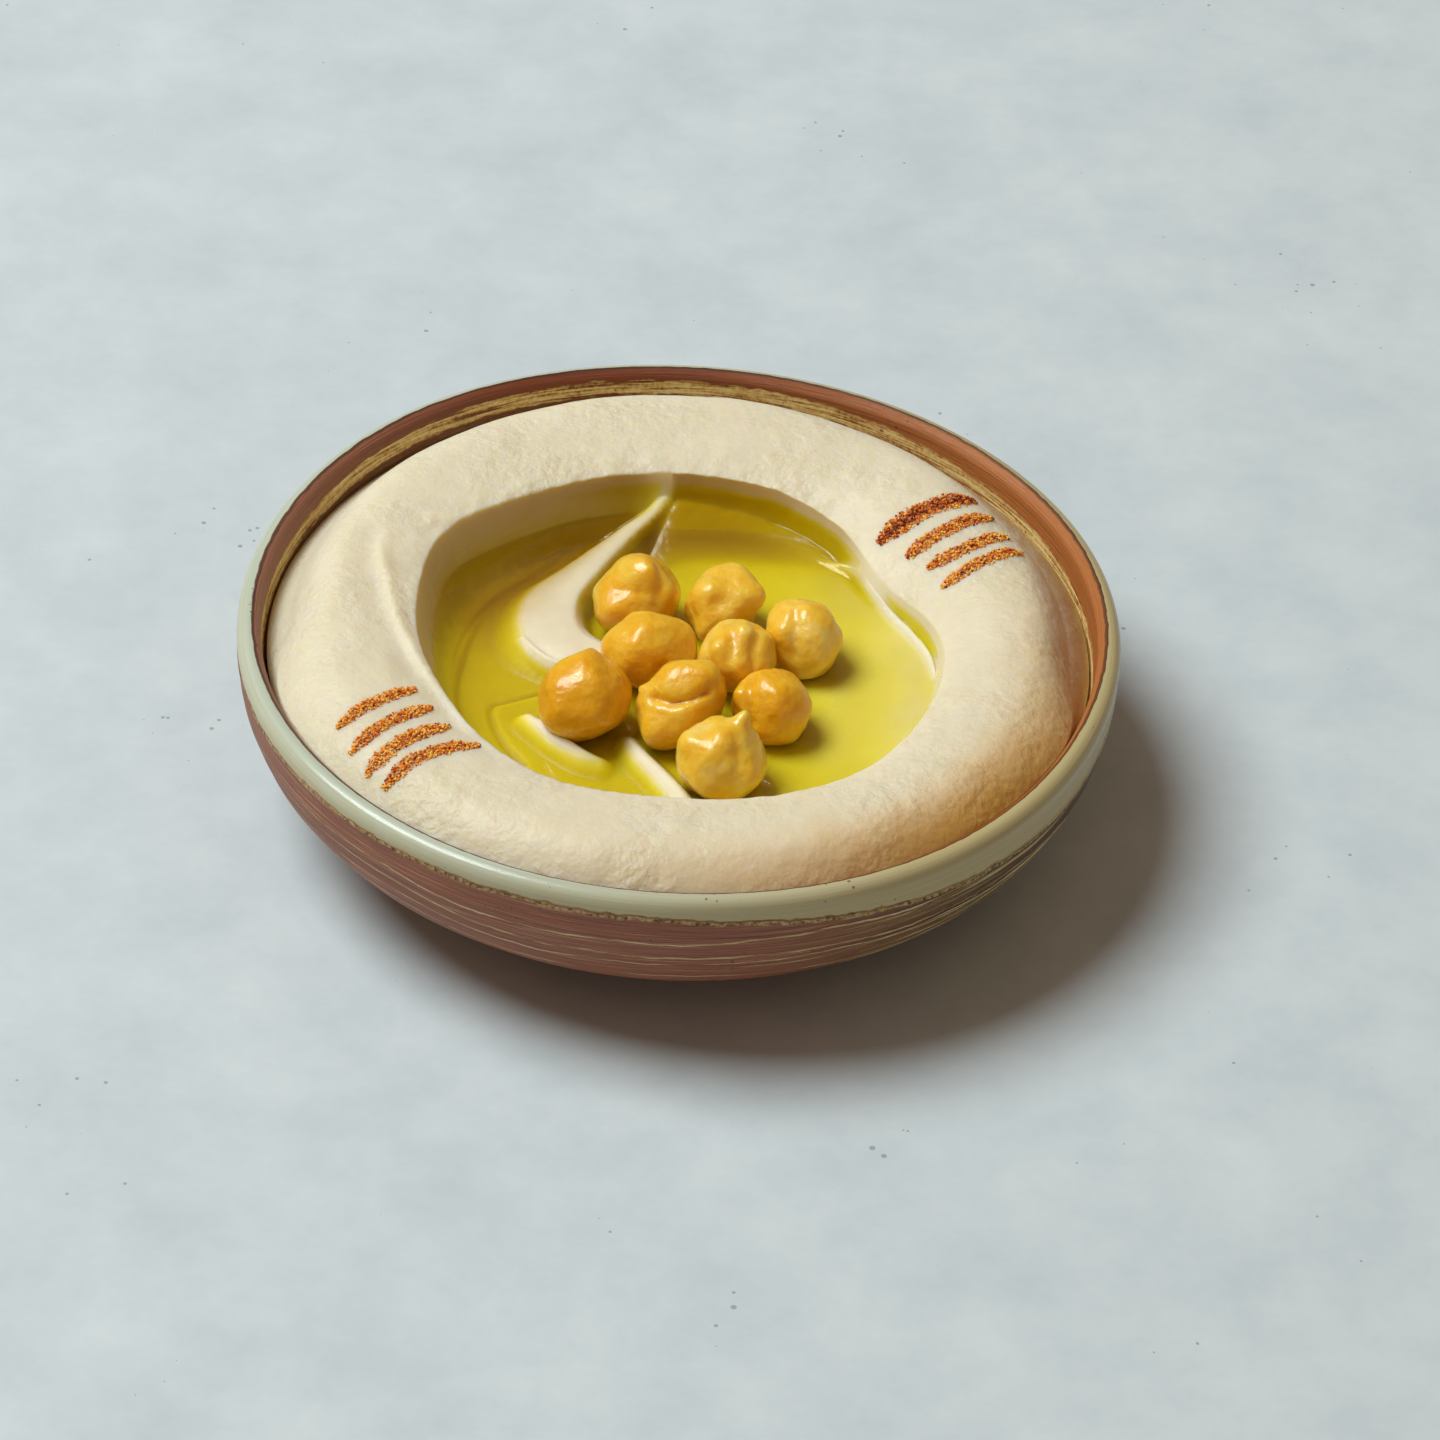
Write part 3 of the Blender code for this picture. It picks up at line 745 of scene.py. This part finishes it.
def make_paste():
    bm = bmesh.new()
    # The dust is filled in where the paprika is laid.
    names = ("row", "oil_film", "in_well", "painted_bounce_light", "soaked_and_shaded", "paprika_dust")
    for name in names:
        bm.verts.layers.float.new(name)
    row_layer, film_layer, well_layer, bounce_layer, soak_shade_layer, _ = bm.verts.layers.float.values()
    rows = [step / UNDER_ROWS for step in range(UNDER_ROWS)]
    rows += [1 + step / RING_ROWS for step in range(RING_ROWS)]
    rows += [2 + step / WALL_ROWS for step in range(WALL_ROWS)]
    rows += [3 + step / FLOOR_ROWS for step in range(FLOOR_ROWS + 1)]
    # A cone with the right rows and sides, whose points are then put in their places.
    points = []
    for row in rows:
        reach = 0.0 if row in (0, 4) else 50.0 - row
        points.append(bm.verts.new((reach, 0.0, row)))
        points[-1][row_layer] = row
    spin_round(bm, points, PASTE_STEPS)
    verts = list(bm.verts)
    flat = np.array([vert.co for vert in verts])
    row = np.round(np.array([vert[row_layer] for vert in verts]), 5)
    angle = np.arctan2(flat[:, 1], flat[:, 0])
    x, y, z = paste_place(angle, row)
    z = worked_skin(x, y, z, row, angle)
    film, soak_and_shade = oil_marks(x, y, z, row)
    bounce_light = painted_bounce_light(x, y, row)
    for vert, px, py, pz, wet, level, bounce_tint, dim in zip(verts, x, y, z, film, row, bounce_light, soak_and_shade):
        vert.co = (px, py, pz)
        vert[bounce_layer] = bounce_tint
        vert[soak_shade_layer] = dim
        vert[film_layer] = wet
        vert[well_layer] = float(level > 2.0)
    bm.verts.layers.float.remove(bm.verts.layers.float["row"])
    return bm


# Chickpea and tahini paste: thick, opaque and faintly translucent, with a satin skin and a
# fine grain. Oil over it swallows blue first, so it goes yellow and then olive brown.
def blended_paste():
    material, tree, skin, place = new_material("blended_paste")
    mottle = clouds(tree, place, 120.0, 3.0)
    cream = ramp(tree, mottle, (0.3, "#e3dabc"), (0.7, "#e9e1c6"))
    in_well = attribute(tree, "in_well")
    film = attribute(tree, "oil_film")
    height = node(tree, "SeparateXYZ", {0: place}).outputs["Z"]
    depth = ranged(tree, height, OIL_Z * MM, 0.0, 0.0, OIL_Z)
    depth = maths(tree, "MULTIPLY_ADD", depth, in_well, film)
    passed = [maths(tree, "POWER", keep, depth) for keep in OIL_KEEPS]
    tint = node(tree, "CombineColor", dict(enumerate(passed)))
    # Painted light: warm tan where the brown wall throws light back onto the paste's shaded
    # front-right flank.
    bounce_tint = attribute(tree, "painted_bounce_light")
    cream = mixed(tree, bounce_tint, cream, "#d6a654")
    # Soaked paste is browner; the same brown is painted shade in the well's run, on its back and
    # left walls and on the shelf.
    soaked_and_shaded = attribute(tree, "soaked_and_shaded")
    cream = mixed(tree, soaked_and_shaded, cream, "#b8994e")
    dust = attribute(tree, "paprika_dust")
    cream = mixed(tree, dust, cream, "#d27a14")
    tinted = mixed(tree, 1.0, cream, tint, blend_type="MULTIPLY")
    wet = ranged(tree, film, 0.0, 0.2)
    rough = ranged(tree, wet, 0.0, 1.0, 0.46, 0.14)
    pebble = clouds(tree, place, 900.0, 3.0, 0.55)
    broad = clouds(tree, place, 330.0, 2.0)
    grain = maths(tree, "MULTIPLY_ADD", broad, 1.6, pebble)
    patchy = clouds(tree, place, 70.0, 2.0)
    patchy = ranged(tree, patchy, 0.42, 0.62, 0.35, 1.0)
    covered = maths(tree, "MAXIMUM", wet, in_well)
    hold = ranged(tree, covered, 0.0, 1.0, patchy, 0.12)
    bump = bumped(tree, grain, hold, 0.00045)
    plug(tree, skin, {"Base Color": tinted, "Roughness": rough, "Normal": bump, "IOR": 1.42})
    plug(tree, skin, {"Subsurface Weight": 0.8, "Subsurface Scale": 0.004})
    plug(tree, skin, {"Subsurface Radius": (1.0, 0.74, 0.28)})
    return material


make_piece("hummus_paste", make_paste(), blended_paste(), "hummus", "hummus")

# ----------------------------------------------------------
# Oil. A pool of olive oil poured into the well, level, creeping a little way up the paste
# where it meets it.
# ----------------------------------------------------------
POOL_STEPS = 360
POOL_ROWS = 84
POOL_REACH = 44.0  # far enough to run in under the paste on every side
CREEP = 0.3  # height of the meniscus


def make_pool():
    bm = bmesh.new()
    reaches = [POOL_REACH * step / POOL_ROWS for step in range(POOL_ROWS + 1)]
    points = [bm.verts.new((reach, 0.0, 0.0)) for reach in reaches]
    spin_round(bm, points, POOL_STEPS)
    verts = list(bm.verts)
    x = np.array([vert.co.x for vert in verts]) + WELL_X
    y = np.array([vert.co.y for vert in verts]) + WELL_Y
    angle = np.arctan2(y - WELL_Y, x - WELL_X)
    near_wall = np.hypot(x - WELL_X, y - WELL_Y) - foot_radius(angle)
    bed = well_height(x, y)
    bed = np.maximum(bed, foot_height(angle) - 0.6 + np.clip(near_wall + 1.0, 0, 9) * 0.9)
    depth = np.maximum(OIL_Z - bed, 0.0)
    lift = CREEP * np.exp(-depth / 0.3)
    for vert, px, py, up in zip(verts, x, y, lift):
        vert.co = (px, py, OIL_Z + up)
    return bm


# Olive oil: clear, thin and mirror-smooth. Its yellow is in what it lets through.
def olive_oil():
    material, tree, skin, place = new_material("olive_oil")
    tree.nodes.remove(skin)
    swell_noise = clouds(tree, place, 140.0, 1.0)
    bump = bumped(tree, swell_noise, 0.12, 0.0006)
    edge = node(tree, "Fresnel", {"IOR": 1.47, "Normal": bump})
    clear = node(tree, "BsdfTransparent", {"Color": "#fefcee"})
    gloss = node(tree, "BsdfGlossy", {"Color": (1, 1, 1, 1), "Roughness": 0.03, "Normal": bump})
    both = node(tree, "MixShader", {0: edge, 1: clear, 2: gloss})
    plug(tree, tree.nodes["Material Output"], {"Surface": both})
    return material


make_piece("oil_pool", make_pool(), olive_oil(), "olive_oil", "oil")

# ----------------------------------------------------------
# Chickpeas. Nine, boiled soft with their skins on, heaped in the middle of the oil. Each
# has its own lobes, its cleft and its little beak, and a film of oil.
# ----------------------------------------------------------
# Each has its halves along its own axes, its turns, how pale it is, its lobes and creases.
# Marks are placed as seen from the front of the table: to the right and up on the side
# that faces there, 1 at the chickpea's edge, then half width and height.
TABLE_LOOK = math.radians(39.0)
PEAS = (
    (
        "chickpea_1", (6.2, 6.4, 5.8), (0, -50, 84), 0.5,
        ((0.16, 0.7, 0.4, 0.18), (-0.72, -0.45, 0.36, 0.18), (-0.7, 0.5, 0.42, -0.14),
         (0.78, 0.05, 0.32, 0.12), (0.3, -0.7, 0.5, 0.06)),
        (((-0.62, 0.1), (-0.15, 0.12), (0.45, 0.1), 0.19, 0.06),
         ((0.45, 0.62), (0.55, 0.3), (0.5, -0.2), 0.14, 0.06)),
    ),
    (
        "chickpea_2", (5.9, 6.0, 5.2), (30, 30, 235), 0.6,
        ((-0.5, 0.35, 0.36, 0.17), (0.8, 0.2, 0.34, 0.22), (-0.45, -0.75, 0.3, 0.18),
         (0.6, -0.6, 0.5, -0.16), (0.1, -0.3, 0.3, 0.04)),
        (((0.2, 0.85), (0.15, 0.4), (0.05, 0.1), 0.35, 0.11),
         ((-0.25, -0.05), (-0.2, -0.12), 0.14, 0.06)),
    ),
    (
        "chickpea_3", (6.1, 5.6, 5.6), (-20, -48, 100), 0.65,
        ((-0.6, 0.2, 0.34, 0.12), (0.25, 0.6, 0.42, 0.1), (0.5, -0.5, 0.4, 0.1),
         (0.75, 0.25, 0.35, 0.06)),
        (((-0.25, 0.85), (-0.2, 0.3), (-0.2, -0.5), 0.17, 0.10),
         ((-0.75, -0.1), (-0.45, -0.4), 0.14, 0.05)),
    ),
    (
        "chickpea_4", (6.9, 5.8, 5.6), (10, -5, 10), 0.36,
        ((0.35, 0.35, 0.6, 0.05), (-0.75, 0, 0.4, 0.06), (0.85, -0.2, 0.3, 0.06)),
        (((0.15, -0.25), (0.45, -0.5), (0.75, -0.5), 0.20, 0.05),),
    ),
    (
        "chickpea_5", (5.5, 5.6, 5.3), (0, -42, 90), 0.6,
        ((-0.5, 0.15, 0.28, 0.14), (0.72, -0.1, 0.32, 0.15), (0.12, 0.72, 0.32, 0.12),
         (0.1, -0.45, 0.36, 0.09)),
        (((0.45, 0.8), (0.4, 0.15), (0.3, -0.7), 0.17, 0.12),
         ((-0.15, 0.6), (-0.22, 0.1), (-0.15, -0.6), 0.13, 0.06)),
    ),
    (
        "chickpea_6", (6.8, 6.4, 6.2), (0, 10, 200), 0.16,
        ((-0.3, 0.35, 0.55, 0.04), (0.55, -0.3, 0.5, 0.05), (-0.5, -0.55, 0.4, 0.05),
         (0.2, 0.8, 0.4, 0.03)),
        (((-0.1, -0.1), (0.25, 0.15), (0.5, 0.45), 0.29, 0.02),),
    ),
    (
        "chickpea_7", (7.5, 5.7, 5.7), (-35, 34, 213), 0.42,
        ((0.55, 0.62, 0.36, 0.15), (-0.6, -0.66, 0.34, 0.15), (0.66, -0.6, 0.42, -0.13),
         (-0.6, 0.62, 0.4, -0.08), (0.3, -0.5, 0.42, 0.08), (-0.35, 0.55, 0.35, 0.09),
         (-0.92, 0.3, 0.12, 0.1)),
        (((-0.7, 0.1), (-0.2, -0.02), (0.25, 0.1), (0.6, 0.3), 0.12, 0.19),),
    ),
    (
        "chickpea_8", (5.7, 5.6, 5.5), (0, -6, 165), 0.3,
        ((0.15, 0.15, 0.6, 0.06), (-0.8, 0.3, 0.24, 0.14), (0.75, -0.45, 0.3, 0.07),
         (0.2, 0.85, 0.3, 0.05)),
        (((-0.55, 0.75), (-0.58, 0.2), (-0.5, -0.5), 0.14, 0.10),
         ((-0.95, 0.0), (-0.75, -0.3), 0.12, 0.06)),
    ),
    (
        "chickpea_9", (6.2, 6.4, 6.1), (0, -45, 60), 0.64,
        ((-0.8, 0.35, 0.3, 0.15), (0.05, 0.45, 0.32, 0.1), (0.75, 0.5, 0.3, -0.08),
         (0.7, -0.4, 0.32, 0.12), (-0.4, -0.75, 0.34, 0.1), (0.38, 0.86, 0.15, 0.3)),
        (((0.35, 0.45), (0.45, 0.0), (0.3, -0.7), 0.19, 0.07),
         ((-0.35, 0.75), (-0.3, 0.4), (-0.5, 0.0), 0.17, 0.04)),
    ),
)
PEA_DETAIL = 5
PEA_CHEEKS = 15
PEA_ANGULAR = 0.6  # 0 is an ellipsoid, 1 is all flat cheeks
CHEEK_EDGE = 12  # the higher, the sharper the edges between cheeks
# The skin's bumps, broad to fine: how many to a radius, their height, and two seeds.
PEA_BUMPS = ((1.7, 0.055, 9.0, 0), (5.0, 0.022, 5.0, 3), (11.0, 0.006, 3.0, 7))


def seen_from_table(right, up):
    """The direction of a mark on the side that faces the front of the table."""
    toward = math.sqrt(max(1.0 - right * right - up * up, 0.0))
    cos, sin = math.cos(TABLE_LOOK), math.sin(TABLE_LOOK)
    return np.array((right, up * sin - toward * cos, up * cos + toward * sin))


def make_pea(number, name, halves, turns, pale, lobes, creases):
    bm = bmesh.new()
    pale_layer = bm.verts.layers.float.new("pale_skin")
    bmesh.ops.create_icosphere(bm, subdivisions=PEA_DETAIL, radius=1.0)
    low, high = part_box(name)
    centre = np.array((low + high) / 2) / MM
    verts = list(bm.verts)
    way = np.array([vert.co.normalized() for vert in verts])
    turn = np.array(Euler([math.radians(angle) for angle in turns]).to_matrix())
    own = way @ turn
    reach = 1.0 / np.sqrt(((own / np.array(halves)) ** 2).sum(1))
    # The seed under the skin is faintly angular: flat cheeks with round edges between.
    cheeks = []
    for step in range(PEA_CHEEKS):
        rise = 1 - 2 * (step + 0.5) / PEA_CHEEKS
        round_it = 2.4 * step + 1.7 * number
        out = math.sqrt(1 - rise * rise)
        flat = np.array((out * math.cos(round_it), out * math.sin(round_it), rise))
        far = np.linalg.norm(flat @ turn * np.array(halves))
        far *= 0.97 + 0.06 * math.sin(5.0 * step + 2.0 * number)
        cheeks.append((np.maximum(way @ flat, 0.02) / far) ** CHEEK_EDGE)
    angular = np.sum(cheeks, axis=0) ** (-1 / CHEEK_EDGE)
    reach = reach * (1 - PEA_ANGULAR) + angular * PEA_ANGULAR
    scale = np.ones(len(way))
    for right, up, width, rise in lobes:
        mark = seen_from_table(right, up)
        off = np.arccos(np.clip(way @ mark, -1, 1))
        scale += rise * hump(off, width)
    for *marks, width, sink in creases:
        path = np.array([seen_from_table(*mark) for mark in marks])
        off = np.full(len(way), 9.0)
        for start, end in zip(path, path[1:]):
            for share in np.linspace(0, 1, 9):
                spot = start * (1 - share) + end * share
                spot = spot / np.linalg.norm(spot)
                off = np.minimum(off, np.arccos(np.clip(way @ spot, -1, 1)))
        scale -= sink * hump(off, width)
    uneven = 0.0
    for pitch, height, step, seed in PEA_BUMPS:
        shift = Vector((number * step, seed, 0))
        uneven = uneven + height * np.array([noise.noise(Vector(v) * pitch + shift) for v in way])
    scale += uneven
    for vert, skin in zip(verts, centre + way * (reach * scale)[:, None]):
        vert.co = skin
        vert[pale_layer] = pale
    return bm


# Boiled chickpea: waxy, translucent ochre flesh under a thin tight skin, wet with oil.
def boiled_chickpea():
    material, tree, skin, place = new_material("boiled_chickpea")
    patch = clouds(tree, place, 170.0, 3.0, 0.6)
    pale = attribute(tree, "pale_skin")
    tone = ranged(tree, patch, 0.3, 0.7, -0.3, 0.3)
    tone = maths(tree, "ADD", tone, pale)
    yellows = ((0.0, "#e8a508"), (0.35, "#f0b71a"), (0.7, "#f4ca42"), (1.0, "#f6dc80"))
    flesh = ramp(tree, tone, *yellows)
    height = node(tree, "SeparateXYZ", {0: place}).outputs["Z"]
    depth = ranged(tree, height, OIL_Z * MM, (OIL_Z - 1.6) * MM)
    sunk = mixed(tree, depth, flesh, "#8a6408")
    wrinkle = clouds(tree, place, 420.0, 3.0, 0.5)
    dimple = clouds(tree, place, 1300.0, 2.0)
    uneven = maths(tree, "MULTIPLY_ADD", dimple, 0.3, wrinkle)
    bump = bumped(tree, uneven, 0.6, 0.0006)
    gloss = ranged(tree, wrinkle, 0.3, 0.7, 0.28, 0.5)
    plug(tree, skin, {"Base Color": sunk, "Roughness": gloss, "Normal": bump, "IOR": 1.45})
    plug(tree, skin, {"Coat Weight": 0.5, "Coat Roughness": 0.15})
    plug(tree, skin, {"Subsurface Weight": 0.6, "Subsurface Scale": 0.0025})
    plug(tree, skin, {"Subsurface Radius": (1.0, 0.7, 0.2)})
    return material


pea_skin = boiled_chickpea()
for number, pea in enumerate(PEAS, start=1):
    make_piece(f"pea_{number}", make_pea(number, *pea), pea_skin, "chickpea", pea[0])

# ----------------------------------------------------------
# Paprika. Two groups of four short strokes of ground paprika, laid with a fingertip or a
# fork across the ring, front left and back right. Coarse grains, heaped a grain or two high.
# ----------------------------------------------------------
# Each stroke: three points on the ring, its half width, and how dark its grains are.
STROKES = (
    ((-48.2, -32.0), (-43.1, -27.3), (-37.6, -22.8), 1.1, 0.0),
    ((-45.9, -37.0), (-40.6, -31.4), (-34.9, -26.5), 1.15, 0.0),
    ((-43.3, -41.1), (-38.2, -35.3), (-32.1, -30.3), 1.25, 0.0),
    ((-40.7, -43.7), (-34.4, -37.7), (-27.5, -33.8), 1.2, 0.1),
    ((29.0, 21.0), (34.9, 25.5), (43.3, 30.4), 1.7, 0.5),
    ((33.1, 16.9), (39.5, 21.9), (46.0, 26.5), 1.25, 0.1),
    ((36.3, 13.8), (42.2, 17.5), (48.3, 22.2), 1.2, 0.05),
    ((38.4, 9.6), (44.0, 13.8), (50.4, 18.8), 1.1, 0.0),
)
STROKE_STEPS = 12
GRAINS_PER_MM2 = 17.0
GRAIN_HALF = (0.09, 0.24)  # the smallest grain and the largest, half across
HEAP = 0.28  # height of the heap along a stroke's middle
DUST = 0.85  # how far the dust hides the paste under a stroke


def ring_height_near(points):
    """Height of the paste under a list of places, from the finished piece itself."""
    paste = bpy.data.objects["hummus_paste"]
    found = []
    for x, y in points:
        hit, spot, _, _ = paste.ray_cast((x * MM, y * MM, 0.05), (0, 0, -1))
        found.append(spot.z / MM if hit else CREST_Z)
    return found


def make_paprika():
    dice = random.Random(4)
    whole = bmesh.new()
    for *marks, half, dark in STROKES:
        line = smooth_route(marks, STROKE_STEPS)
        length = sum(math.dist(a, b) for a, b in zip(line, line[1:]))
        count = int(length * half * 2 * GRAINS_PER_MM2)
        spots = []
        for _ in range(count):
            along = dice.random()
            at = along * (len(line) - 1)
            first = min(int(at), len(line) - 2)
            x, y = line[first] + (line[first + 1] - line[first]) * (at - first)
            run = line[first + 1] - line[first]
            run = run / np.hypot(*run)
            taper = min(1.0, 4 * along + 0.35, 4 * (1 - along) + 0.35)
            off = (dice.uniform(-1.0, 1.0) + dice.gauss(0, 0.12)) * half * taper
            spots.append((x - run[1] * off, y + run[0] * off, abs(off) / half))
        heights = ring_height_near([spot[:2] for spot in spots])
        part = bmesh.new()
        tone_layer = part.verts.layers.float.new("grain_tone")
        for (x, y, off), height in zip(spots, heights):
            size = dice.uniform(*GRAIN_HALF)
            heap = HEAP * max(0.0, 1 - off) * dice.random()
            stretch = [dice.uniform(0.6, 1.4) for _ in range(3)]
            turn = Euler([dice.uniform(0, 6.28) for _ in range(3)]).to_matrix().to_4x4()
            shape = Matrix.Diagonal((*[size * s for s in stretch], 1.0))
            spot = Matrix.Translation((x, y, height + size * 0.3 + heap))
            put = spot @ turn @ shape
            grain = bmesh.ops.create_icosphere(part, subdivisions=1, radius=1.0, matrix=put)
            tone = min(max(dice.gauss(0.68, 0.3) - dark * (1 - off), 0.0), 1.0)
            for vert in grain["verts"]:
                vert[tone_layer] = tone
        mesh = bpy.data.meshes.new("stroke")
        part.to_mesh(mesh)
        part.free()
        whole.from_mesh(mesh)
        bpy.data.meshes.remove(mesh)
    return whole


# Ground paprika: dry flakes of pepper skin from brick red to orange, a few scorched dark.
def ground_paprika():
    material, tree, skin, place = new_material("ground_paprika")
    tone = attribute(tree, "grain_tone")
    vary = clouds(tree, place, 900.0, 2.0)
    vary = ranged(tree, vary, 0.3, 0.7, -0.12, 0.12)
    tone = maths(tree, "ADD", tone, vary)
    reds = ((0.05, "#641c06"), (0.2, "#983004"), (0.4, "#d46206"))
    reds += ((0.66, "#f09214"), (0.95, "#fbcc64"))
    colour = ramp(tree, tone, *reds)
    bump = bumped(tree, vary, 0.4, 0.0002)
    plug(tree, skin, {"Base Color": colour, "Roughness": 0.75, "Normal": bump})
    return material


def dust_the_paste():
    """The finest dust stains the paste under and just beside each stroke."""
    mesh = bpy.data.objects["hummus_paste"].data
    places = np.array([vert.co for vert in mesh.vertices]) / MM
    x, y = places[:, 0], places[:, 1]
    dust = np.zeros(len(places))
    for *marks, half, _ in STROKES:
        off, _ = nearest_on(smooth_route(marks, STROKE_STEPS)[3:-3], x, y)
        dust = np.maximum(dust, 1 - fade(half * 0.4, half + 0.1, np.abs(off)))
    dust = dust * DUST * (places[:, 2] > SIDE_Z)
    mesh.attributes["paprika_dust"].data.foreach_set("value", dust.astype(np.float32))


make_piece("paprika_strokes", make_paprika(), ground_paprika(), "paprika")
dust_the_paste()

# ----------------------------------------------------------
# Table, light and camera. A pale cement-grey table top, one big soft lamp high on the left,
# and a dim warm fill.
# ----------------------------------------------------------
LAMP_TURN = math.radians(168.0)
LAMP_LIFT = math.radians(60.0)
LAMP_REACH = 2.2
LAMP_SIZE = 1.26
LAMP_WATTS = 47.5
CAMERA_LIFT = math.radians(39.13)
CAMERA_ROLL = math.radians(3.24)
CAMERA_REACH = 1.0
CAMERA_AIM = Vector((0.0067, -0.0231, 0.030))
CAMERA_LENS = 172.5
TABLE_RADIUS = 2.5


# Trowelled cement: pale blue grey, matt, softly clouded, with a few dark pin holes.
def cement_top():
    material, tree, skin, place = new_material("cement_top")
    cloud = clouds(tree, place, 45.0, 8.0, 0.68)
    tone = ramp(tree, cloud, (0.3, "#c2ced2"), (0.7, "#d2dde0"))
    pin = node(tree, "TexVoronoi", {"Vector": place, "Scale": 330.0})
    rare = clouds(tree, place, 33.0, 2.0)
    rare = ranged(tree, rare, 0.56, 0.72, 0.0, 0.16)
    hole = maths(tree, "LESS_THAN", pin, rare)
    hole = maths(tree, "MULTIPLY", hole, 0.6)
    tone = mixed(tree, hole, tone, "#7c8080")
    plug(tree, skin, {"Base Color": tone, "Roughness": 0.75})
    return material


table_top = bmesh.new()
bmesh.ops.create_circle(table_top, cap_ends=True, segments=96, radius=TABLE_RADIUS)
table = add_mesh("table", table_top, cement_top())

world = bpy.data.worlds.new("room")
bpy.context.scene.world = world
world.use_nodes = True
sky = world.node_tree
seen = node(sky, "LightPath").outputs["Is Camera Ray"]
fill = node(sky, "Background", {"Color": (0.22, 0.155, 0.115, 1.0), "Strength": 1.0})
pale = node(sky, "Background", {"Color": "#cfd6d9", "Strength": 1.0})
room = node(sky, "MixShader", {0: seen, 1: fill, 2: pale})
plug(sky, sky.nodes["World Output"], {"Surface": room})

lamp = bpy.data.lights.new("window_lamp", "AREA")
lamp.shape = "DISK"
lamp.size = LAMP_SIZE
lamp.energy = LAMP_WATTS
lamp.color = (0.93, 0.985, 1.0)
lamp_object = add_object("window_lamp", lamp)
run = math.cos(LAMP_LIFT)
toward = Vector((run * math.cos(LAMP_TURN), run * math.sin(LAMP_TURN), math.sin(LAMP_LIFT)))
lamp_object.location = toward * LAMP_REACH
lamp_object.rotation_euler = toward.to_track_quat("Z", "Y").to_euler()

camera = bpy.data.cameras.new("table_camera")
camera.lens = CAMERA_LENS
camera.sensor_width = 36.0
camera.clip_start = 0.01
camera_object = add_object("table_camera", camera)
bpy.context.scene.camera = camera_object
tilt = Matrix.Rotation(math.pi / 2 - CAMERA_LIFT, 4, "X")
pose = tilt @ Matrix.Rotation(CAMERA_ROLL, 4, "Z")
pose.translation = CAMERA_AIM + tilt @ Vector((0.0, 0.0, CAMERA_REACH))
camera_object.matrix_world = pose
bpy.context.scene.view_settings.view_transform = "Standard"
